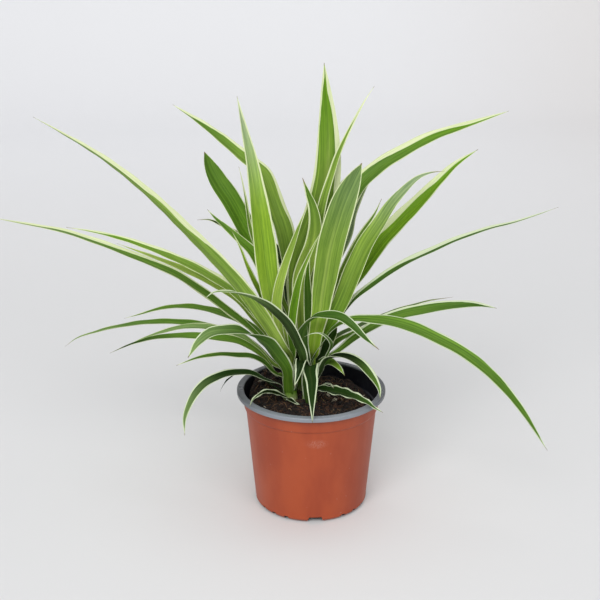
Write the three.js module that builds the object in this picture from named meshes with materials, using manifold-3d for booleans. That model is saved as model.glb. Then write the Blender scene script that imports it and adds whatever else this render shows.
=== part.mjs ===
/*
 * Potted spider plant: a thin plastic nursery pot, potting soil, three crowns (the short
 * stems that the leaves sheathe) and long, channelled leaves that arch out of them.
 *
 * Millimetres, +Z up. The origin is the centre of the pot's foot, on the surface that the
 * pot stands on. The front of the plant faces -Y and its right side +X.
 */
import * as THREE from 'three';
import { mergeVertices } from 'three/addons/utils/BufferGeometryUtils.js';
import Module from 'manifold-3d';

const wasm = await Module();
wasm.setup();

// ---------------------------------------------------------------- driving dimensions

const POT_HEIGHT = 98.5;
const RIM_RADIUS = 60;
const BASE_RADIUS = 45.4;
const WALL = 1.4;
const FLOOR = 2;
const POT_SIDES = 64;

const RIM_BORE = 54.3;
const RIM_DROP = 3.4;
const RIM_ROUND = 0.9;
const RIM_SKIN = 1;
const RIM_DRAFT = 0.2;
const BAND_BOTTOM = 82.5;
const BAND_STEP = 1.4;
const WALL_TOP_RADIUS = 52.8;
const BASE_ROUND = 3.6;
const BASE_ROUND_MIDDLE = 0.3;
const FLOOR_FILLET = 2;

const WIDE_NOTCH = { width: 12, height: 4.4, depth: 11 };
const SMALL_NOTCH = { width: 4, height: 3.2, depth: 9 };
const NOTCH_OUTSIDE = 4;
const NOTCH_START = 274;
const NOTCH_QUARTER = 90;
const SMALL_NOTCH_TURNS = [30, 45, 60];
const DRAIN_HOLES = 6;
const DRAIN_RADIUS = 3.5;
const DRAIN_CIRCLE = 24;
const DRAIN_SIDES = 16;

const GAP = 0.35;
const SOIL_SIDES = 40;
const SOIL_RINGS = [47, 41, 34, 27, 20, 13, 6];
const SOIL_LEVEL = 87.5;
const SOIL_RIM_RADIUS = 50.2;
const SOIL_WALL_TOP = 70.5;
const HEAP = { x: -33, y: 21, height: 14, spread: 19 };
const HOLLOW = { x: 34, y: 8, height: -9, spread: 20 };
const LUMPS = { coarse: 0.9, fine: 0.6, start: 1, acrossX: 0.31, acrossY: 0.27, slantX: 0.17, slantY: 0.43 };
const BORE_REACH = 20;

const CROWN_DEPTH = 12;
const CROWN_SIDES = 14;
const CROWN_TIP = 1;
const CROWN_SHAPE = [
  [3, -CROWN_DEPTH],
  [5.6, -6],
  [6.2, 0],
  [5.4, 10],
  [4.3, 22],
  [3.2, 34],
  [1.7, 42],
];
const CROWNS = {
  left: { x: -17, y: 0, foot: 89.5 },
  front: { x: -1, y: -3, foot: 88.5 },
  back: { x: -7, y: 16, foot: 90.5 },
};

const BLADE = 0.8;
const LEAF_STEP = 17;
const LEAF_STATIONS = { fewest: 7, most: 13 };
const TIP_WIDTH = 1;
const ROOT_SHARE = 0.36;
const WIDEST_AT = 0.42;
const TAPER = 1.6;
const FOLD_ROOT = 15;
const FOLD_BLADE = 24;
const TURN_LENGTH = 0.35;
const FACE_TURN_LENGTH = 0.14;
const LIFT = 9;
const LIFT_OUT = 1.6;

/*
 * Leaf routes are written as they look from in front of the plant: an eye stands at EYE and
 * looks down by VIEW_PITCH degrees at a drawing plane through the middle of the rim. A point
 * is [right, up, behind]: where it shows on that plane, in millimetres from the middle of
 * the rim, and how far it lies behind the pot's axis.
 */
const EYE = new THREE.Vector3(-9, -840, 470.5);
const VIEW_PITCH = 19.5;

// ---------------------------------------------------------------- leaves

/*
 * crown: the crown that the leaf grows on.    rise: how high its root is on the crown.
 * heading: the way it leans, in degrees round the pot (0 right, 90 back, 180 left, 270 front).
 * width: the blade at its widest.             roll: how far its upper face turns to the front.
 * around: where the root is on the crown, if that isn't the heading.
 * heart: a leaf that the crown still wraps: it is one solid with its crown.
 * face: in place of heading and roll for the blade, how far it is turned from the eye, as pairs
 *   of a share of the length and degrees: 0 shows the upper face in full, 180 the underside.
 * root: the width of the root as a share of the blade's, if that isn't ROOT_SHARE.
 * widest: the share of the length at which the blade is widest, if that isn't WIDEST_AT.
 * taper: how long the blade stays broad after that, if that isn't TAPER.
 * tone: the colour of a leaf that is a piece of its own.
 * seen: its route after the root, to the tip. at: the same, as plain x, y, z.
 */
const LEAVES = [
  // left crown, from the lowest arch up
  { name: 'left_rim_arch', crown: 'left', heading: 218, rise: 2, around: 205, width: 11,
    tone: 'dark', taper: 2.2,
    face: [[0, 115], [0.2, 75], [0.45, 62], [0.6, 50], [0.75, 25], [1, 20]],
    seen: [[-34.8, 7, -14], [-45.3, 12.5, -23], [-56.3, 14, -33], [-70.9, 11.6, -45], [-82.9, 5.6, -53],
      [-92, -4, -60], [-97.2, -14, -64], [-100, -25, -66], [-100.8, -38.5, -68]] },
  { name: 'left_low_thin', crown: 'left', heart: true, heading: 207, rise: 5, around: 185, width: 9,
    face: [[0, 95], [0.2, 68], [0.6, 62], [1, 50]],
    seen: [[-30, 12, -7], [-40, 21.5, -15], [-49.5, 25.5, -23], [-57.5, 26, -26], [-73.5, 27, -33],
      [-90, 24.6, -39], [-98, 22, -42], [-109, 17.5, -46]] },
  { name: 'left_broad_arch', crown: 'left', heading: 222, around: 255, rise: 7, width: 16,
    tone: 'dark', widest: 0.4, taper: 3.5, root: 0.5,
    face: [[0, 165], [0.25, 142], [0.45, 132], [0.55, 100], [0.65, 62], [0.8, 50], [0.9, 30], [1, 20]],
    seen: [[-21, 15, -14], [-30, 29, -22], [-39, 39, -31], [-53, 46, -42], [-67, 47.5, -51],
      [-82, 45, -58], [-92, 37, -63], [-100, 24, -66]] },
  { name: 'left_flat_dark', crown: 'left', heading: 178, rise: 10, around: 165, width: 12,
    roll: 10, tone: 'dark',
    seen: [[-28, 10, 2], [-36, 21, 1], [-45, 30, -1], [-57, 37, -2], [-70, 40, -3],
      [-98, 42, -3], [-122, 41, -2], [-143, 36, -1], [-163, 27.5, 0]] },
  { name: 'left_flat_pale', crown: 'left', heading: 168, around: 145, rise: 13, width: 9,
    tone: 'pale',
    face: [[0, 58], [1, 58]],
    seen: [[-31, 19, 9], [-45, 33, 14], [-61, 44, 18], [-82, 49, 21], [-98, 50, 23],
      [-114, 47, 25], [-130, 42, 27], [-148, 34.5, 28]] },
  { name: 'left_flat_long', crown: 'left', heading: 158, around: 125, rise: 17, width: 9,
    tone: 'dark',
    face: [[0, 40], [0.2, 62], [1, 64]],
    seen: [[-30, 20, 16], [-43, 33, 23], [-57, 42, 29], [-78, 49, 36], [-97, 53, 42],
      [-128, 54, 50], [-158, 50, 57], [-177, 45, 61], [-190, 40, 64], [-199, 33, 66]] },
  { name: 'left_back_thin', crown: 'left', heading: 148, around: 105, rise: 21, width: 9,
    tone: 'mid',
    face: [[0, 25], [0.25, 60], [1, 60]],
    seen: [[-29, 33, 20], [-48, 50, 34], [-72, 61, 47], [-86, 65, 54], [-102, 67, 60],
      [-122, 65, 67], [-138, 60, 71], [-151, 56, 74]] },
  { name: 'left_long_low', crown: 'left', heart: true, heading: 168, around: 168, rise: 17,
    width: 12, roll: 15, widest: 0.3,
    seen: [[-30, 27, 6], [-49, 47, 12], [-65, 60, 16], [-90, 79, 21], [-108, 91, 25],
      [-130, 101, 29], [-171, 117, 36], [-203, 127, 42], [-227, 131.5, 46], [-258, 137, 50]] },
  { name: 'left_long_under', crown: 'left', heart: true, heading: 176, around: 155, rise: 15,
    width: 11, roll: 15,
    seen: [[-30, 34, 1], [-46, 54, 2], [-62, 72, 3], [-85, 86, 4], [-106, 96, 7],
      [-128, 105, 9], [-157, 116, 12]] },
  { name: 'left_long_mid', crown: 'left', heading: 182, around: 210, rise: 21, width: 13,
    widest: 0.3, tone: 'lime',
    face: [[0, 70], [0.3, 52], [0.6, 48], [1, 45]],
    seen: [[-28, 38, -9], [-47, 61, -8], [-65, 79, -7], [-86, 92, -7], [-106, 102, -7],
      [-130, 112, -7], [-154, 120, -7], [-179, 126, -7], [-198, 129, -7]] },
  { name: 'left_long_high', crown: 'left', heading: 188, around: 268, rise: 28, width: 15,
    tone: 'lime', widest: 0.3, taper: 1.6, root: 0.4,
    face: [[0, 178], [0.3, 150], [0.6, 140], [1, 135]],
    seen: [[-23, 30, -17], [-39, 54, -24], [-63, 86, -29], [-106, 130.5, -33], [-138, 160.5, -34],
      [-171, 186, -35], [-203, 205.5, -35], [-225, 218, -34]] },
  { name: 'left_inner_front', crown: 'left', heading: 95, around: 310, rise: 20, width: 8,
    roll: 0, tone: 'lime',
    seen: [[-16, 42, -7], [-15, 58, -6], [-13, 71, -6], [-9.5, 87, -6], [-5, 99, -7],
      [1.5, 113, -8], [7, 124, -8]] },
  { name: 'left_narrow_upright', crown: 'left', heart: true, heading: 160, rise: 26, width: 8,
    roll: 40,
    seen: [[-28, 45, 9], [-39, 71, 13], [-47, 87, 13], [-53, 101, 15], [-58, 114, 17],
      [-64, 126, 19]] },
  { name: 'left_upright_short', crown: 'left', heart: true, heading: 140, rise: 26, width: 12,
    roll: 20, taper: 2.4,
    seen: [[-26, 52, 8], [-35, 82, 14], [-47, 108, 22], [-57, 118, 26], [-67, 127, 30],
      [-77, 136, 34], [-84, 143.5, 37]] },
  { name: 'left_tall', crown: 'left', heart: true, heading: 112, rise: 28, width: 21, roll: 0,
    taper: 1.7,
    seen: [[-26, 46, 1], [-33, 76, 4], [-38.5, 119, 9], [-43, 152, 13], [-48.5, 184, 18],
      [-54, 208, 22], [-60, 235, 26]] },
  { name: 'left_inner_sweep', crown: 'left', heart: true, heading: 95, rise: 24, width: 11,
    roll: 0,
    seen: [[-24, 40, 1], [-28, 63, 1], [-26.5, 79, 1], [-23, 93, 2], [-19, 105, 3],
      [-14.5, 117, 4], [-11, 127, 5], [-3, 147, 7]] },

  // front crown
  { name: 'front_fold', crown: 'front', heading: 270, around: 255, rise: 0, width: 14.5, roll: 0,
    tone: 'dark', widest: 0.35,
    seen: [[-0.5, 12, -18], [-0.5, 18, -23], [-1, 13, -29], [0.5, 5, -38], [0.7, -4.5, -48],
      [0.8, -13.5, -57], [1, -29, -66]] },
  { name: 'front_right_low', crown: 'front', heading: 308, around: 300, rise: 2, width: 11,
    tone: 'mid',
    face: [[0, 225], [0.2, 290], [0.45, 310], [1, 318]],
    seen: [[8, -1, -14], [15.5, -2, -19], [24, -3.5, -25], [32.5, -6, -31], [43, -10.5, -38],
      [51, -16, -43], [58, -20.5, -48]] },
  { name: 'front_right_arch', crown: 'front', heading: 331, around: 303, rise: 9, width: 12,
    tone: 'mid', widest: 0.45, taper: 2.6,
    face: [[0, 222], [0.25, 228], [0.4, 268], [0.5, 290], [0.65, 312], [0.8, 322], [1, 325]],
    seen: [[8.5, 15, -13], [12.5, 24, -15], [19, 27, -17], [27, 27, -20], [34, 25, -24],
      [41.2, 20.5, -28], [47.1, 14, -31], [52.2, 6.5, -33], [55.5, -1, -34], [56, -9, -34]] },
  { name: 'front_hook', crown: 'front', heart: true, heading: 310, around: 330, rise: 16,
    width: 4, roll: 0,
    seen: [[11, 20, -3], [12.5, 25, -5], [16.2, 32, -10], [16.6, 36, -14], [13.5, 40.5, -19],
      [7, 44.8, -23], [0, 44, -25], [-6.5, 40, -26]] },
  { name: 'front_broad_arch', crown: 'front', heading: 318, around: 250, rise: 22, width: 13,
    tone: 'mid', widest: 0.35, taper: 2.4,
    face: [[0, 160], [0.2, 185], [0.33, 212], [0.45, 262], [0.6, 300], [0.75, 328], [1, 332]],
    seen: [[-7, 36, -12], [-5, 49, -17], [3, 58, -23], [14, 60, -29], [24, 57.5, -34],
      [33, 50, -38], [41, 42, -42], [49, 35, -46], [55, 30, -49]] },
  { name: 'front_left_arch', crown: 'front', heading: 208, around: 232, rise: 9, width: 13.5,
    tone: 'dark', widest: 0.35, taper: 2.4,
    face: [[0, 142], [0.3, 132], [0.5, 135], [0.65, 128], [0.76, 112], [0.85, 80], [0.93, 55], [1, 50]],
    seen: [[-8, 25, -20], [-12, 35, -25], [-17, 45, -30], [-25, 56, -35], [-40, 68, -42],
      [-53, 74, -48], [-67, 77, -54], [-79, 76.5, -58], [-86, 71.5, -60]] },
  { name: 'right_long_droop', crown: 'front', heart: true, heading: 340, around: 345, rise: 25,
    width: 14, taper: 2.2,
    face: [[0, 255], [0.12, 280], [0.3, 307], [0.45, 315], [1, 320]],
    seen: [[9, 35, -5], [19, 48, -9], [32, 55, -16], [52, 55, -26], [72, 52, -36],
      [88, 46.5, -43], [104, 39, -50], [120.5, 30, -55], [137, 18, -59], [153, 3, -62],
      [169, -16.5, -64], [191, -51, -65]] },
  { name: 'right_level', crown: 'front', heading: 8, around: 26, rise: 9, width: 13,
    tone: 'mid', widest: 0.55, taper: 2.6,
    face: [[0, 296], [0.3, 308], [0.6, 316], [1, 320]],
    seen: [[12, 22, 1], [24, 32, 2], [35, 41, 3], [60, 56, 6], [72, 60, 7],
      [88, 63.5, 9], [104, 66, 11], [120, 67.5, 12], [137, 67, 13], [150, 64, 14]] },
  { name: 'right_short', crown: 'front', heart: true, heading: 25, around: 42, rise: 13,
    width: 8, roll: 10,
    seen: [[13, 29, 11], [23, 38, 16], [31, 42, 18], [41, 47, 20], [48, 49.5, 23], [55, 50, 26]] },
  { name: 'right_thin', crown: 'front', heart: true, heading: 36, around: 66, rise: 16, width: 7,
    roll: 0,
    seen: [[16, 38, 17], [38, 50, 31], [56, 58, 41], [72, 64, 49], [96, 70.5, 59],
      [115, 73, 66]] },
  { name: 'right_long_straight', crown: 'front', heart: true, heading: 18, around: 22, rise: 24,
    width: 9, roll: 15,
    seen: [[14, 44, 3], [28, 63.5, 8], [37, 74, 11], [53, 86, 16], [72, 99, 21],
      [96, 110.5, 27], [120.5, 121, 33], [145, 129, 38], [169, 135, 43], [200, 145.5, 48]] },
  { name: 'right_upright_broad', crown: 'front', heart: true, heading: 62, rise: 26, width: 17,
    roll: 10, taper: 2.1,
    seen: [[9, 42, -1], [21.5, 63, 2], [29, 80.5, 4], [36.5, 99, 6], [45, 117, 9],
      [56, 134, 12], [66, 149, 15], [78, 162, 18], [87, 169.5, 21], [96, 173, 23],
      [108, 174.5, 26]] },
  { name: 'right_upright_narrow', crown: 'front', heart: true, heading: 72, rise: 26, width: 9,
    roll: 0, taper: 2.2,
    seen: [[9, 50, 4], [20, 79, 11], [26, 94, 15], [33, 110, 18], [41, 125, 21],
      [51, 139.5, 25], [57, 152, 28]] },
  { name: 'middle_broad', crown: 'front', heart: true, heading: 88, rise: 28, width: 23, roll: 0,
    taper: 3.5,
    seen: [[1, 27, -4], [4, 45, -5], [7.5, 61, -5], [9, 74, -4], [11.5, 89.5, -3],
      [14, 105, -2], [17, 119, 0], [21, 133, 2], [25, 145.5, 4], [29.5, 157, 7],
      [35, 169, 10], [41, 181, 13]] },
  { name: 'middle_dark', crown: 'front', heart: true, heading: 90, rise: 26, width: 9, roll: 0,
    seen: [[-1, 40, 0], [-2, 63, 2], [-3, 90, 3], [-1, 112, 4]] },
  { name: 'front_inner_dark', crown: 'front', heart: true, heading: 60, rise: 20, width: 9,
    roll: 0,
    seen: [[9, 24, 2], [14, 36, 3], [21, 48, 4]] },

  // back crown
  { name: 'middle_tall', crown: 'back', heart: true, heading: 88, rise: 28, width: 26, roll: 0,
    taper: 2.4,
    seen: [[-10, 42, 20], [-11, 63, 22], [-10.5, 83, 23], [-6, 107, 25], [2, 127.5, 27],
      [9, 150, 29], [13, 172, 31], [14, 192, 33], [13.5, 216, 35], [12, 241, 38],
      [10.5, 262, 41]] },
  { name: 'middle_curl', crown: 'back', heart: true, heading: 95, rise: 24, width: 12, roll: 0,
    taper: 2,
    seen: [[-7, 52, 13], [-8, 87, 11], [-4, 101.5, 11], [1, 115, 11], [3, 131, 12],
      [1.5, 144, 13], [-2.5, 156, 15], [-7, 169, 17]] },
  { name: 'middle_lean', crown: 'back', heart: true, heading: 80, rise: 26, width: 13, roll: 0,
    widest: 0.35, taper: 1.2,
    seen: [[-4, 55, 17], [-3, 87, 18], [1, 111, 18], [6, 134, 19], [10.5, 153, 20],
      [15.5, 169.5, 22], [21, 186.5, 24], [27.5, 201, 26], [35.5, 217, 29], [43.5, 231.5, 32],
      [51, 243, 35]] },
  { name: 'right_back_narrow', crown: 'back', heart: true, heading: 55, rise: 24, width: 10,
    roll: 0,
    seen: [[1, 60, 30], [17, 95, 40], [30.5, 122.5, 48], [35, 140, 52], [41.5, 156, 56],
      [47.5, 167, 60], [54, 178, 64]] },
  { name: 'middle_back', crown: 'back', heart: true, heading: 75, rise: 20, width: 10, roll: 0,
    seen: [[-3, 68, 32], [6, 120, 42], [15, 147, 48], [24, 163, 52], [32, 171, 56],
      [44, 176, 62]] },
  { name: 'right_high_arch', crown: 'back', heart: true, heading: 35, around: 10, rise: 22,
    width: 18, roll: 20, taper: 2.4,
    seen: [[1, 56, 22], [9, 88, 27], [18, 114, 32], [30, 147.5, 38], [41, 165, 42],
      [57, 179, 46], [73, 189, 50], [97, 201.5, 55], [129, 212.5, 61], [160, 223, 66]] },
  { name: 'right_upright_far', crown: 'back', heading: 28, around: 330, rise: 16, width: 17,
    roll: 25, taper: 2.2, tone: 'lime',
    seen: [[7, 44, 18], [25, 75, 26], [44.5, 101.5, 32], [57, 118.5, 36], [72, 134.5, 40],
      [88.5, 151, 43], [104, 167.5, 46], [117, 180, 49], [135, 192, 52]] },
  { name: 'left_back_high', crown: 'back', heart: true, heading: 130, around: 165, rise: 24,
    width: 19, roll: 0, taper: 2.2,
    seen: [[-15, 60, 26], [-17, 95, 33], [-19, 107, 36], [-23, 127, 40], [-30, 146, 45],
      [-40, 171, 52], [-56.5, 186, 60], [-75, 201.5, 68], [-91, 214, 74], [-112, 228, 81]] },
  { name: 'left_back_blunt', crown: 'back', heart: true, heading: 145, around: 190, rise: 16,
    width: 22, roll: 30, taper: 5, widest: 0.65,
    seen: [[-21, 50, 27], [-34, 82, 38], [-46, 110, 46], [-58.5, 133, 52], [-67, 149, 56],
      [-76.5, 164, 60], [-83, 177, 63], [-87, 190, 66]] },
  { name: 'left_back_sliver', crown: 'back', heart: true, heading: 130, rise: 20, width: 7,
    roll: 0,
    seen: [[-19, 60, 22], [-34, 92, 31], [-48, 123, 38], [-53, 152, 44], [-56, 168, 48],
      [-58.5, 178, 50]] },
  { name: 'left_back_curl', crown: 'back', heart: true, heading: 152, around: 150, rise: 14,
    width: 11, roll: 0,
    seen: [[-16, 55, 36], [-20, 90, 50], [-27, 109, 58], [-38, 117, 66], [-50, 118.5, 73],
      [-61.5, 125, 80], [-72, 130.5, 86], [-82, 135, 92], [-92, 135, 98]] },

  // hidden behind the others
  { name: 'back_arch_left', crown: 'back', heading: 120, around: 125, rise: 6, width: 13,
    roll: 0, tone: 'mid',
    at: [[-15, 36, 132], [-22, 60, 156], [-28, 86, 161], [-33, 108, 148], [-36, 124, 122],
      [-38, 132, 92]] },
  { name: 'back_arch_middle', crown: 'back', heading: 92, around: 92, rise: 1, width: 13,
    roll: 0, tone: 'mid',
    at: [[-7, 34, 124], [-8, 60, 150], [-9, 94, 158], [-10, 125, 140], [-11, 146, 108],
      [-11, 156, 78]] },
  { name: 'back_arch_right', crown: 'back', heading: 60, around: 55, rise: 6, width: 13, roll: 0,
    tone: 'dark',
    at: [[4, 34, 128], [12, 57, 150], [20, 82, 154], [27, 102, 138], [31, 116, 108]] },
];

/*
 * Small leaves stay fused to their crown, with their roots sunk in it. Their routes start
 * inside the crown, in x, y, z from the crown's foot.
 */
const SMALL_LEAVES = [
  { crown: 'left', width: 5, route: [[-3, 0, 2], [-8, 0, 6], [-16, 1.5, 11], [-27, 3, 17.5],
    [-38.7, 3, 22], [-44.4, 2, 19.5], [-49.2, 1, 16], [-53.3, 0, 11.8], [-56.5, -1, 5.5]] },
  { crown: 'left', width: 7, face: [[0, 60], [1, 50]], route: [[-1, -2, 0], [-4, -8, 6],
    [-10, -14, 12.5], [-18.5, -22, 17.5], [-24.5, -29, 18], [-29.5, -34, 15.5], [-31, -37, 12]] },
  { crown: 'left', width: 5, route: [[-1, -4, 3], [2, -9, 5], [6, -12, 4.5], [11, -13, 3.5]] },
  { crown: 'left', width: 3.5, route: [[3, -2.5, 4], [4.8, -6, 12], [4.6, -10, 23.5],
    [4.8, -14, 34], [6.2, -17, 37], [7.2, -19, 31.5], [6, -20, 21]] },
  { crown: 'front', width: 4, route: [[2, 0, 6], [7, -2, 11.5], [12, -6, 16.5],
    [16, -12, 19], [18.5, -18, 18]] },
  { crown: 'front', width: 11, face: [[0, 320], [1, 325]], route: [[2, 2, 12], [6, 2.5, 25],
    [11, 1, 33.5], [16, -2, 37], [21, -6, 35.5], [26, -9.5, 32], [29, -12, 27.5]] },
];

const TONES = {
  lime: 0x8bab45,
  mid: 0x5f8f3c,
  dark: 0x35602c,
  pale: 0x86a16a,
};
const LEAF_ROUGHNESS = 0.5;
const POT_LOOK = { color: 0xaa5236, roughness: 0.5 };
const SOIL_LOOK = { color: 0x2e2018, roughness: 0.95 };

// ---------------------------------------------------------------- helpers

const UP = new THREE.Vector3(0, 0, 1);
const WELD = 1e-4;

function radians(degrees) {
  return THREE.MathUtils.degToRad(degrees);
}

/* Flips the triangles of a closed indexed geometry if they face inwards. */
function facingOut(geometry) {
  const position = geometry.attributes.position;
  const index = geometry.index.array;
  const [a, b, c] = [new THREE.Vector3(), new THREE.Vector3(), new THREE.Vector3()];
  let volume = 0;
  for (let i = 0; i < index.length; i += 3) {
    a.fromBufferAttribute(position, index[i]);
    b.fromBufferAttribute(position, index[i + 1]);
    c.fromBufferAttribute(position, index[i + 2]);
    volume += a.dot(b.cross(c));
  }
  if (volume < 0) {
    for (let i = 0; i < index.length; i += 3) {
      [index[i + 1], index[i + 2]] = [index[i + 2], index[i + 1]];
    }
  }
  return geometry;
}

/* Leaves only positions and shared vertices, which is what a closed solid needs. */
function welded(geometry) {
  const bare = geometry.clone();
  bare.deleteAttribute('normal');
  bare.deleteAttribute('uv');
  return facingOut(mergeVertices(bare, WELD));
}

function toSolid(geometry) {
  const shell = welded(geometry);
  return new wasm.Manifold(new wasm.Mesh({
    numProp: 3,
    vertProperties: new Float32Array(shell.attributes.position.array),
    triVerts: new Uint32Array(shell.index.array),
  }));
}

function toGeometry(solid) {
  const mesh = solid.getMesh();
  const geometry = new THREE.BufferGeometry();
  geometry.setAttribute('position', new THREE.BufferAttribute(mesh.vertProperties, 3));
  geometry.setIndex(new THREE.BufferAttribute(mesh.triVerts, 1));
  return geometry;
}

/* A solid without the pockets that blades can shut in where they cross. */
function outerShell(solid) {
  const shells = solid.decompose();
  shells.sort((a, b) => b.volume() - a.volume());
  return shells[0];
}

/* Turns a profile of [radius, height] pairs round the Z axis. */
function turned(profile, sides) {
  const points = profile.map(([radius, height]) => new THREE.Vector2(radius, height));
  return new THREE.LatheGeometry(points, sides).rotateX(Math.PI / 2);
}

function smooth(from, to, value) {
  return THREE.MathUtils.smoothstep(value, from, to);
}

// ---------------------------------------------------------------- pot

/* Radius of the wall's outer face below the band. */
function wallRadius(height) {
  return THREE.MathUtils.lerp(BASE_RADIUS, WALL_TOP_RADIUS, height / BAND_BOTTOM);
}

function potProfile() {
  const bandFoot = WALL_TOP_RADIUS + BAND_STEP;
  const bandTop = RIM_BORE + WALL;
  const underRim = POT_HEIGHT - RIM_DROP;
  return [
    [0, 0],
    [BASE_RADIUS - BASE_ROUND, 0],
    [BASE_RADIUS - BASE_ROUND * BASE_ROUND_MIDDLE, BASE_ROUND * BASE_ROUND_MIDDLE],
    [wallRadius(BASE_ROUND), BASE_ROUND],
    [WALL_TOP_RADIUS, BAND_BOTTOM],
    [bandFoot, BAND_BOTTOM + BAND_STEP],
    [bandTop, underRim + RIM_SKIN],
    [RIM_RADIUS - WALL, underRim + RIM_SKIN],
    [RIM_RADIUS - WALL + RIM_DRAFT, underRim],
    [RIM_RADIUS, underRim],
    [RIM_RADIUS, POT_HEIGHT - RIM_ROUND],
    [RIM_RADIUS - RIM_ROUND, POT_HEIGHT],
    [RIM_BORE + RIM_ROUND, POT_HEIGHT],
    [RIM_BORE, POT_HEIGHT - RIM_ROUND],
    [bandFoot - WALL, BAND_BOTTOM + BAND_STEP],
    [WALL_TOP_RADIUS - WALL, BAND_BOTTOM],
    [wallRadius(FLOOR + FLOOR_FILLET) - WALL, FLOOR + FLOOR_FILLET],
    [wallRadius(FLOOR) - WALL - FLOOR_FILLET, FLOOR],
    [0, FLOOR],
  ];
}

/* A block that cuts one drain notch where the wall meets the floor, at a turn in degrees. */
function notchCutter(notch, turn) {
  const length = notch.depth + NOTCH_OUTSIDE;
  const block = new THREE.BoxGeometry(length, notch.width, notch.height * 2);
  block.translate(BASE_RADIUS + NOTCH_OUTSIDE - length / 2, 0, 0);
  return block.rotateZ(radians(turn));
}

function drainCutter(turn) {
  const hole = new THREE.CylinderGeometry(DRAIN_RADIUS, DRAIN_RADIUS, FLOOR * 4, DRAIN_SIDES);
  hole.rotateX(Math.PI / 2);
  hole.translate(DRAIN_CIRCLE, 0, 0);
  return hole.rotateZ(radians(turn));
}

function potGeometry() {
  let pot = toSolid(turned(potProfile(), POT_SIDES));
  for (let quarter = 0; quarter < 360; quarter += NOTCH_QUARTER) {
    const start = NOTCH_START + quarter;
    pot = pot.subtract(toSolid(notchCutter(WIDE_NOTCH, start)));
    for (const turn of SMALL_NOTCH_TURNS) {
      pot = pot.subtract(toSolid(notchCutter(SMALL_NOTCH, start + turn)));
    }
  }
  for (let hole = 0; hole < DRAIN_HOLES; hole += 1) {
    pot = pot.subtract(toSolid(drainCutter(hole * 360 / DRAIN_HOLES)));
  }
  return toGeometry(pot);
}

// ---------------------------------------------------------------- soil

function mound({ x, y, height, spread }, atX, atY) {
  return height * Math.exp(-((atX - x) ** 2 + (atY - y) ** 2) / spread ** 2);
}

/* Height of the soil: heaped at the back left, low at the right, and lumpy all over. */
function soilHeight(x, y) {
  const coarse = LUMPS.coarse * Math.sin(x * LUMPS.acrossX + LUMPS.start) * Math.cos(y * LUMPS.acrossY);
  const fine = LUMPS.fine * Math.sin(x * LUMPS.slantX - y * LUMPS.slantY);
  return SOIL_LEVEL + mound(HEAP, x, y) + mound(HOLLOW, x, y) + coarse + fine;
}

function soilGeometry() {
  const profile = [
    [0, FLOOR + GAP],
    [wallRadius(FLOOR) - WALL - FLOOR_FILLET - GAP, FLOOR + GAP],
    [wallRadius(FLOOR + FLOOR_FILLET) - WALL - GAP, FLOOR + FLOOR_FILLET + GAP],
    [wallRadius(SOIL_WALL_TOP) - WALL - GAP, SOIL_WALL_TOP],
    [SOIL_RIM_RADIUS, SOIL_LEVEL],
    ...SOIL_RINGS.map((radius) => [radius, SOIL_LEVEL]),
    [0, SOIL_LEVEL],
  ];
  const body = turned(profile, SOIL_SIDES);
  const position = body.attributes.position;
  for (let i = 0; i < position.count; i += 1) {
    if (position.getZ(i) > BAND_BOTTOM) {
      position.setZ(i, soilHeight(position.getX(i), position.getY(i)));
    }
  }
  let soil = toSolid(body);
  const bore = Math.max(...CROWN_SHAPE.map(([radius]) => radius)) + GAP;
  const depth = CROWN_DEPTH + GAP;
  for (const crown of Object.values(CROWNS)) {
    const hole = new THREE.CylinderGeometry(bore, bore, depth + BORE_REACH, CROWN_SIDES);
    hole.rotateX(Math.PI / 2);
    hole.translate(crown.x, crown.y, crown.foot + (BORE_REACH - depth) / 2);
    soil = soil.subtract(toSolid(hole));
  }
  return toGeometry(soil);
}

// ---------------------------------------------------------------- leaf blades

/* The point that shows at [right, up] from the front and lies `behind` the pot's axis. */
function seenPoint([right, up, behind]) {
  const pitch = radians(VIEW_PITCH);
  const plane = new THREE.Vector3(right, up * Math.sin(pitch), POT_HEIGHT + up * Math.cos(pitch));
  const share = (behind - EYE.y) / (plane.y - EYE.y);
  return plane.sub(EYE).multiplyScalar(share).add(EYE);
}

/* The value at a place in a table of [place, value] pairs, straight between them. */
function tableAt(table, place) {
  const next = table.findIndex(([end]) => place <= end);
  if (next < 0) {
    return table.at(-1)[1];
  }
  const [low, lowValue] = table[Math.max(0, next - 1)];
  const [high, highValue] = table[next];
  return high > low ? THREE.MathUtils.mapLinear(place, low, high, lowValue, highValue) : highValue;
}

/* Radius of a crown at a height over its foot. */
function crownRadius(height) {
  return tableAt(CROWN_SHAPE.map(([radius, level]) => [level, radius]), height);
}

function compass(degrees) {
  return new THREE.Vector3(Math.cos(radians(degrees)), Math.sin(radians(degrees)), 0);
}

/* The root lies flat on the crown and lifts off it, then the route follows. */
function leafRoute(leaf) {
  const crown = CROWNS[leaf.crown];
  const foot = new THREE.Vector3(crown.x, crown.y, crown.foot);
  const out = compass(leaf.around ?? leaf.heading);
  const seat = leaf.heart ? 0 : crownRadius(leaf.rise) + GAP + BLADE / 2;
  const root = foot.clone().addScaledVector(out, seat).addScaledVector(UP, leaf.rise);
  const lift = root.clone().addScaledVector(out, LIFT_OUT).addScaledVector(UP, LIFT);
  const rest = leaf.seen ? leaf.seen.map(seenPoint) : leaf.at.map((p) => new THREE.Vector3(...p));
  return [root, lift, ...rest];
}

/* The way the blade's width runs at the root and further out. */
function leafSides(leaf) {
  const root = compass((leaf.around ?? leaf.heading) - 90);
  const blade = compass(leaf.heading - 90);
  const turn = radians(leaf.roll ?? 0) * (blade.y < 0 ? -1 : 1);
  blade.multiplyScalar(Math.cos(turn)).addScaledVector(UP, Math.sin(turn));
  return { root, blade };
}

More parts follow.
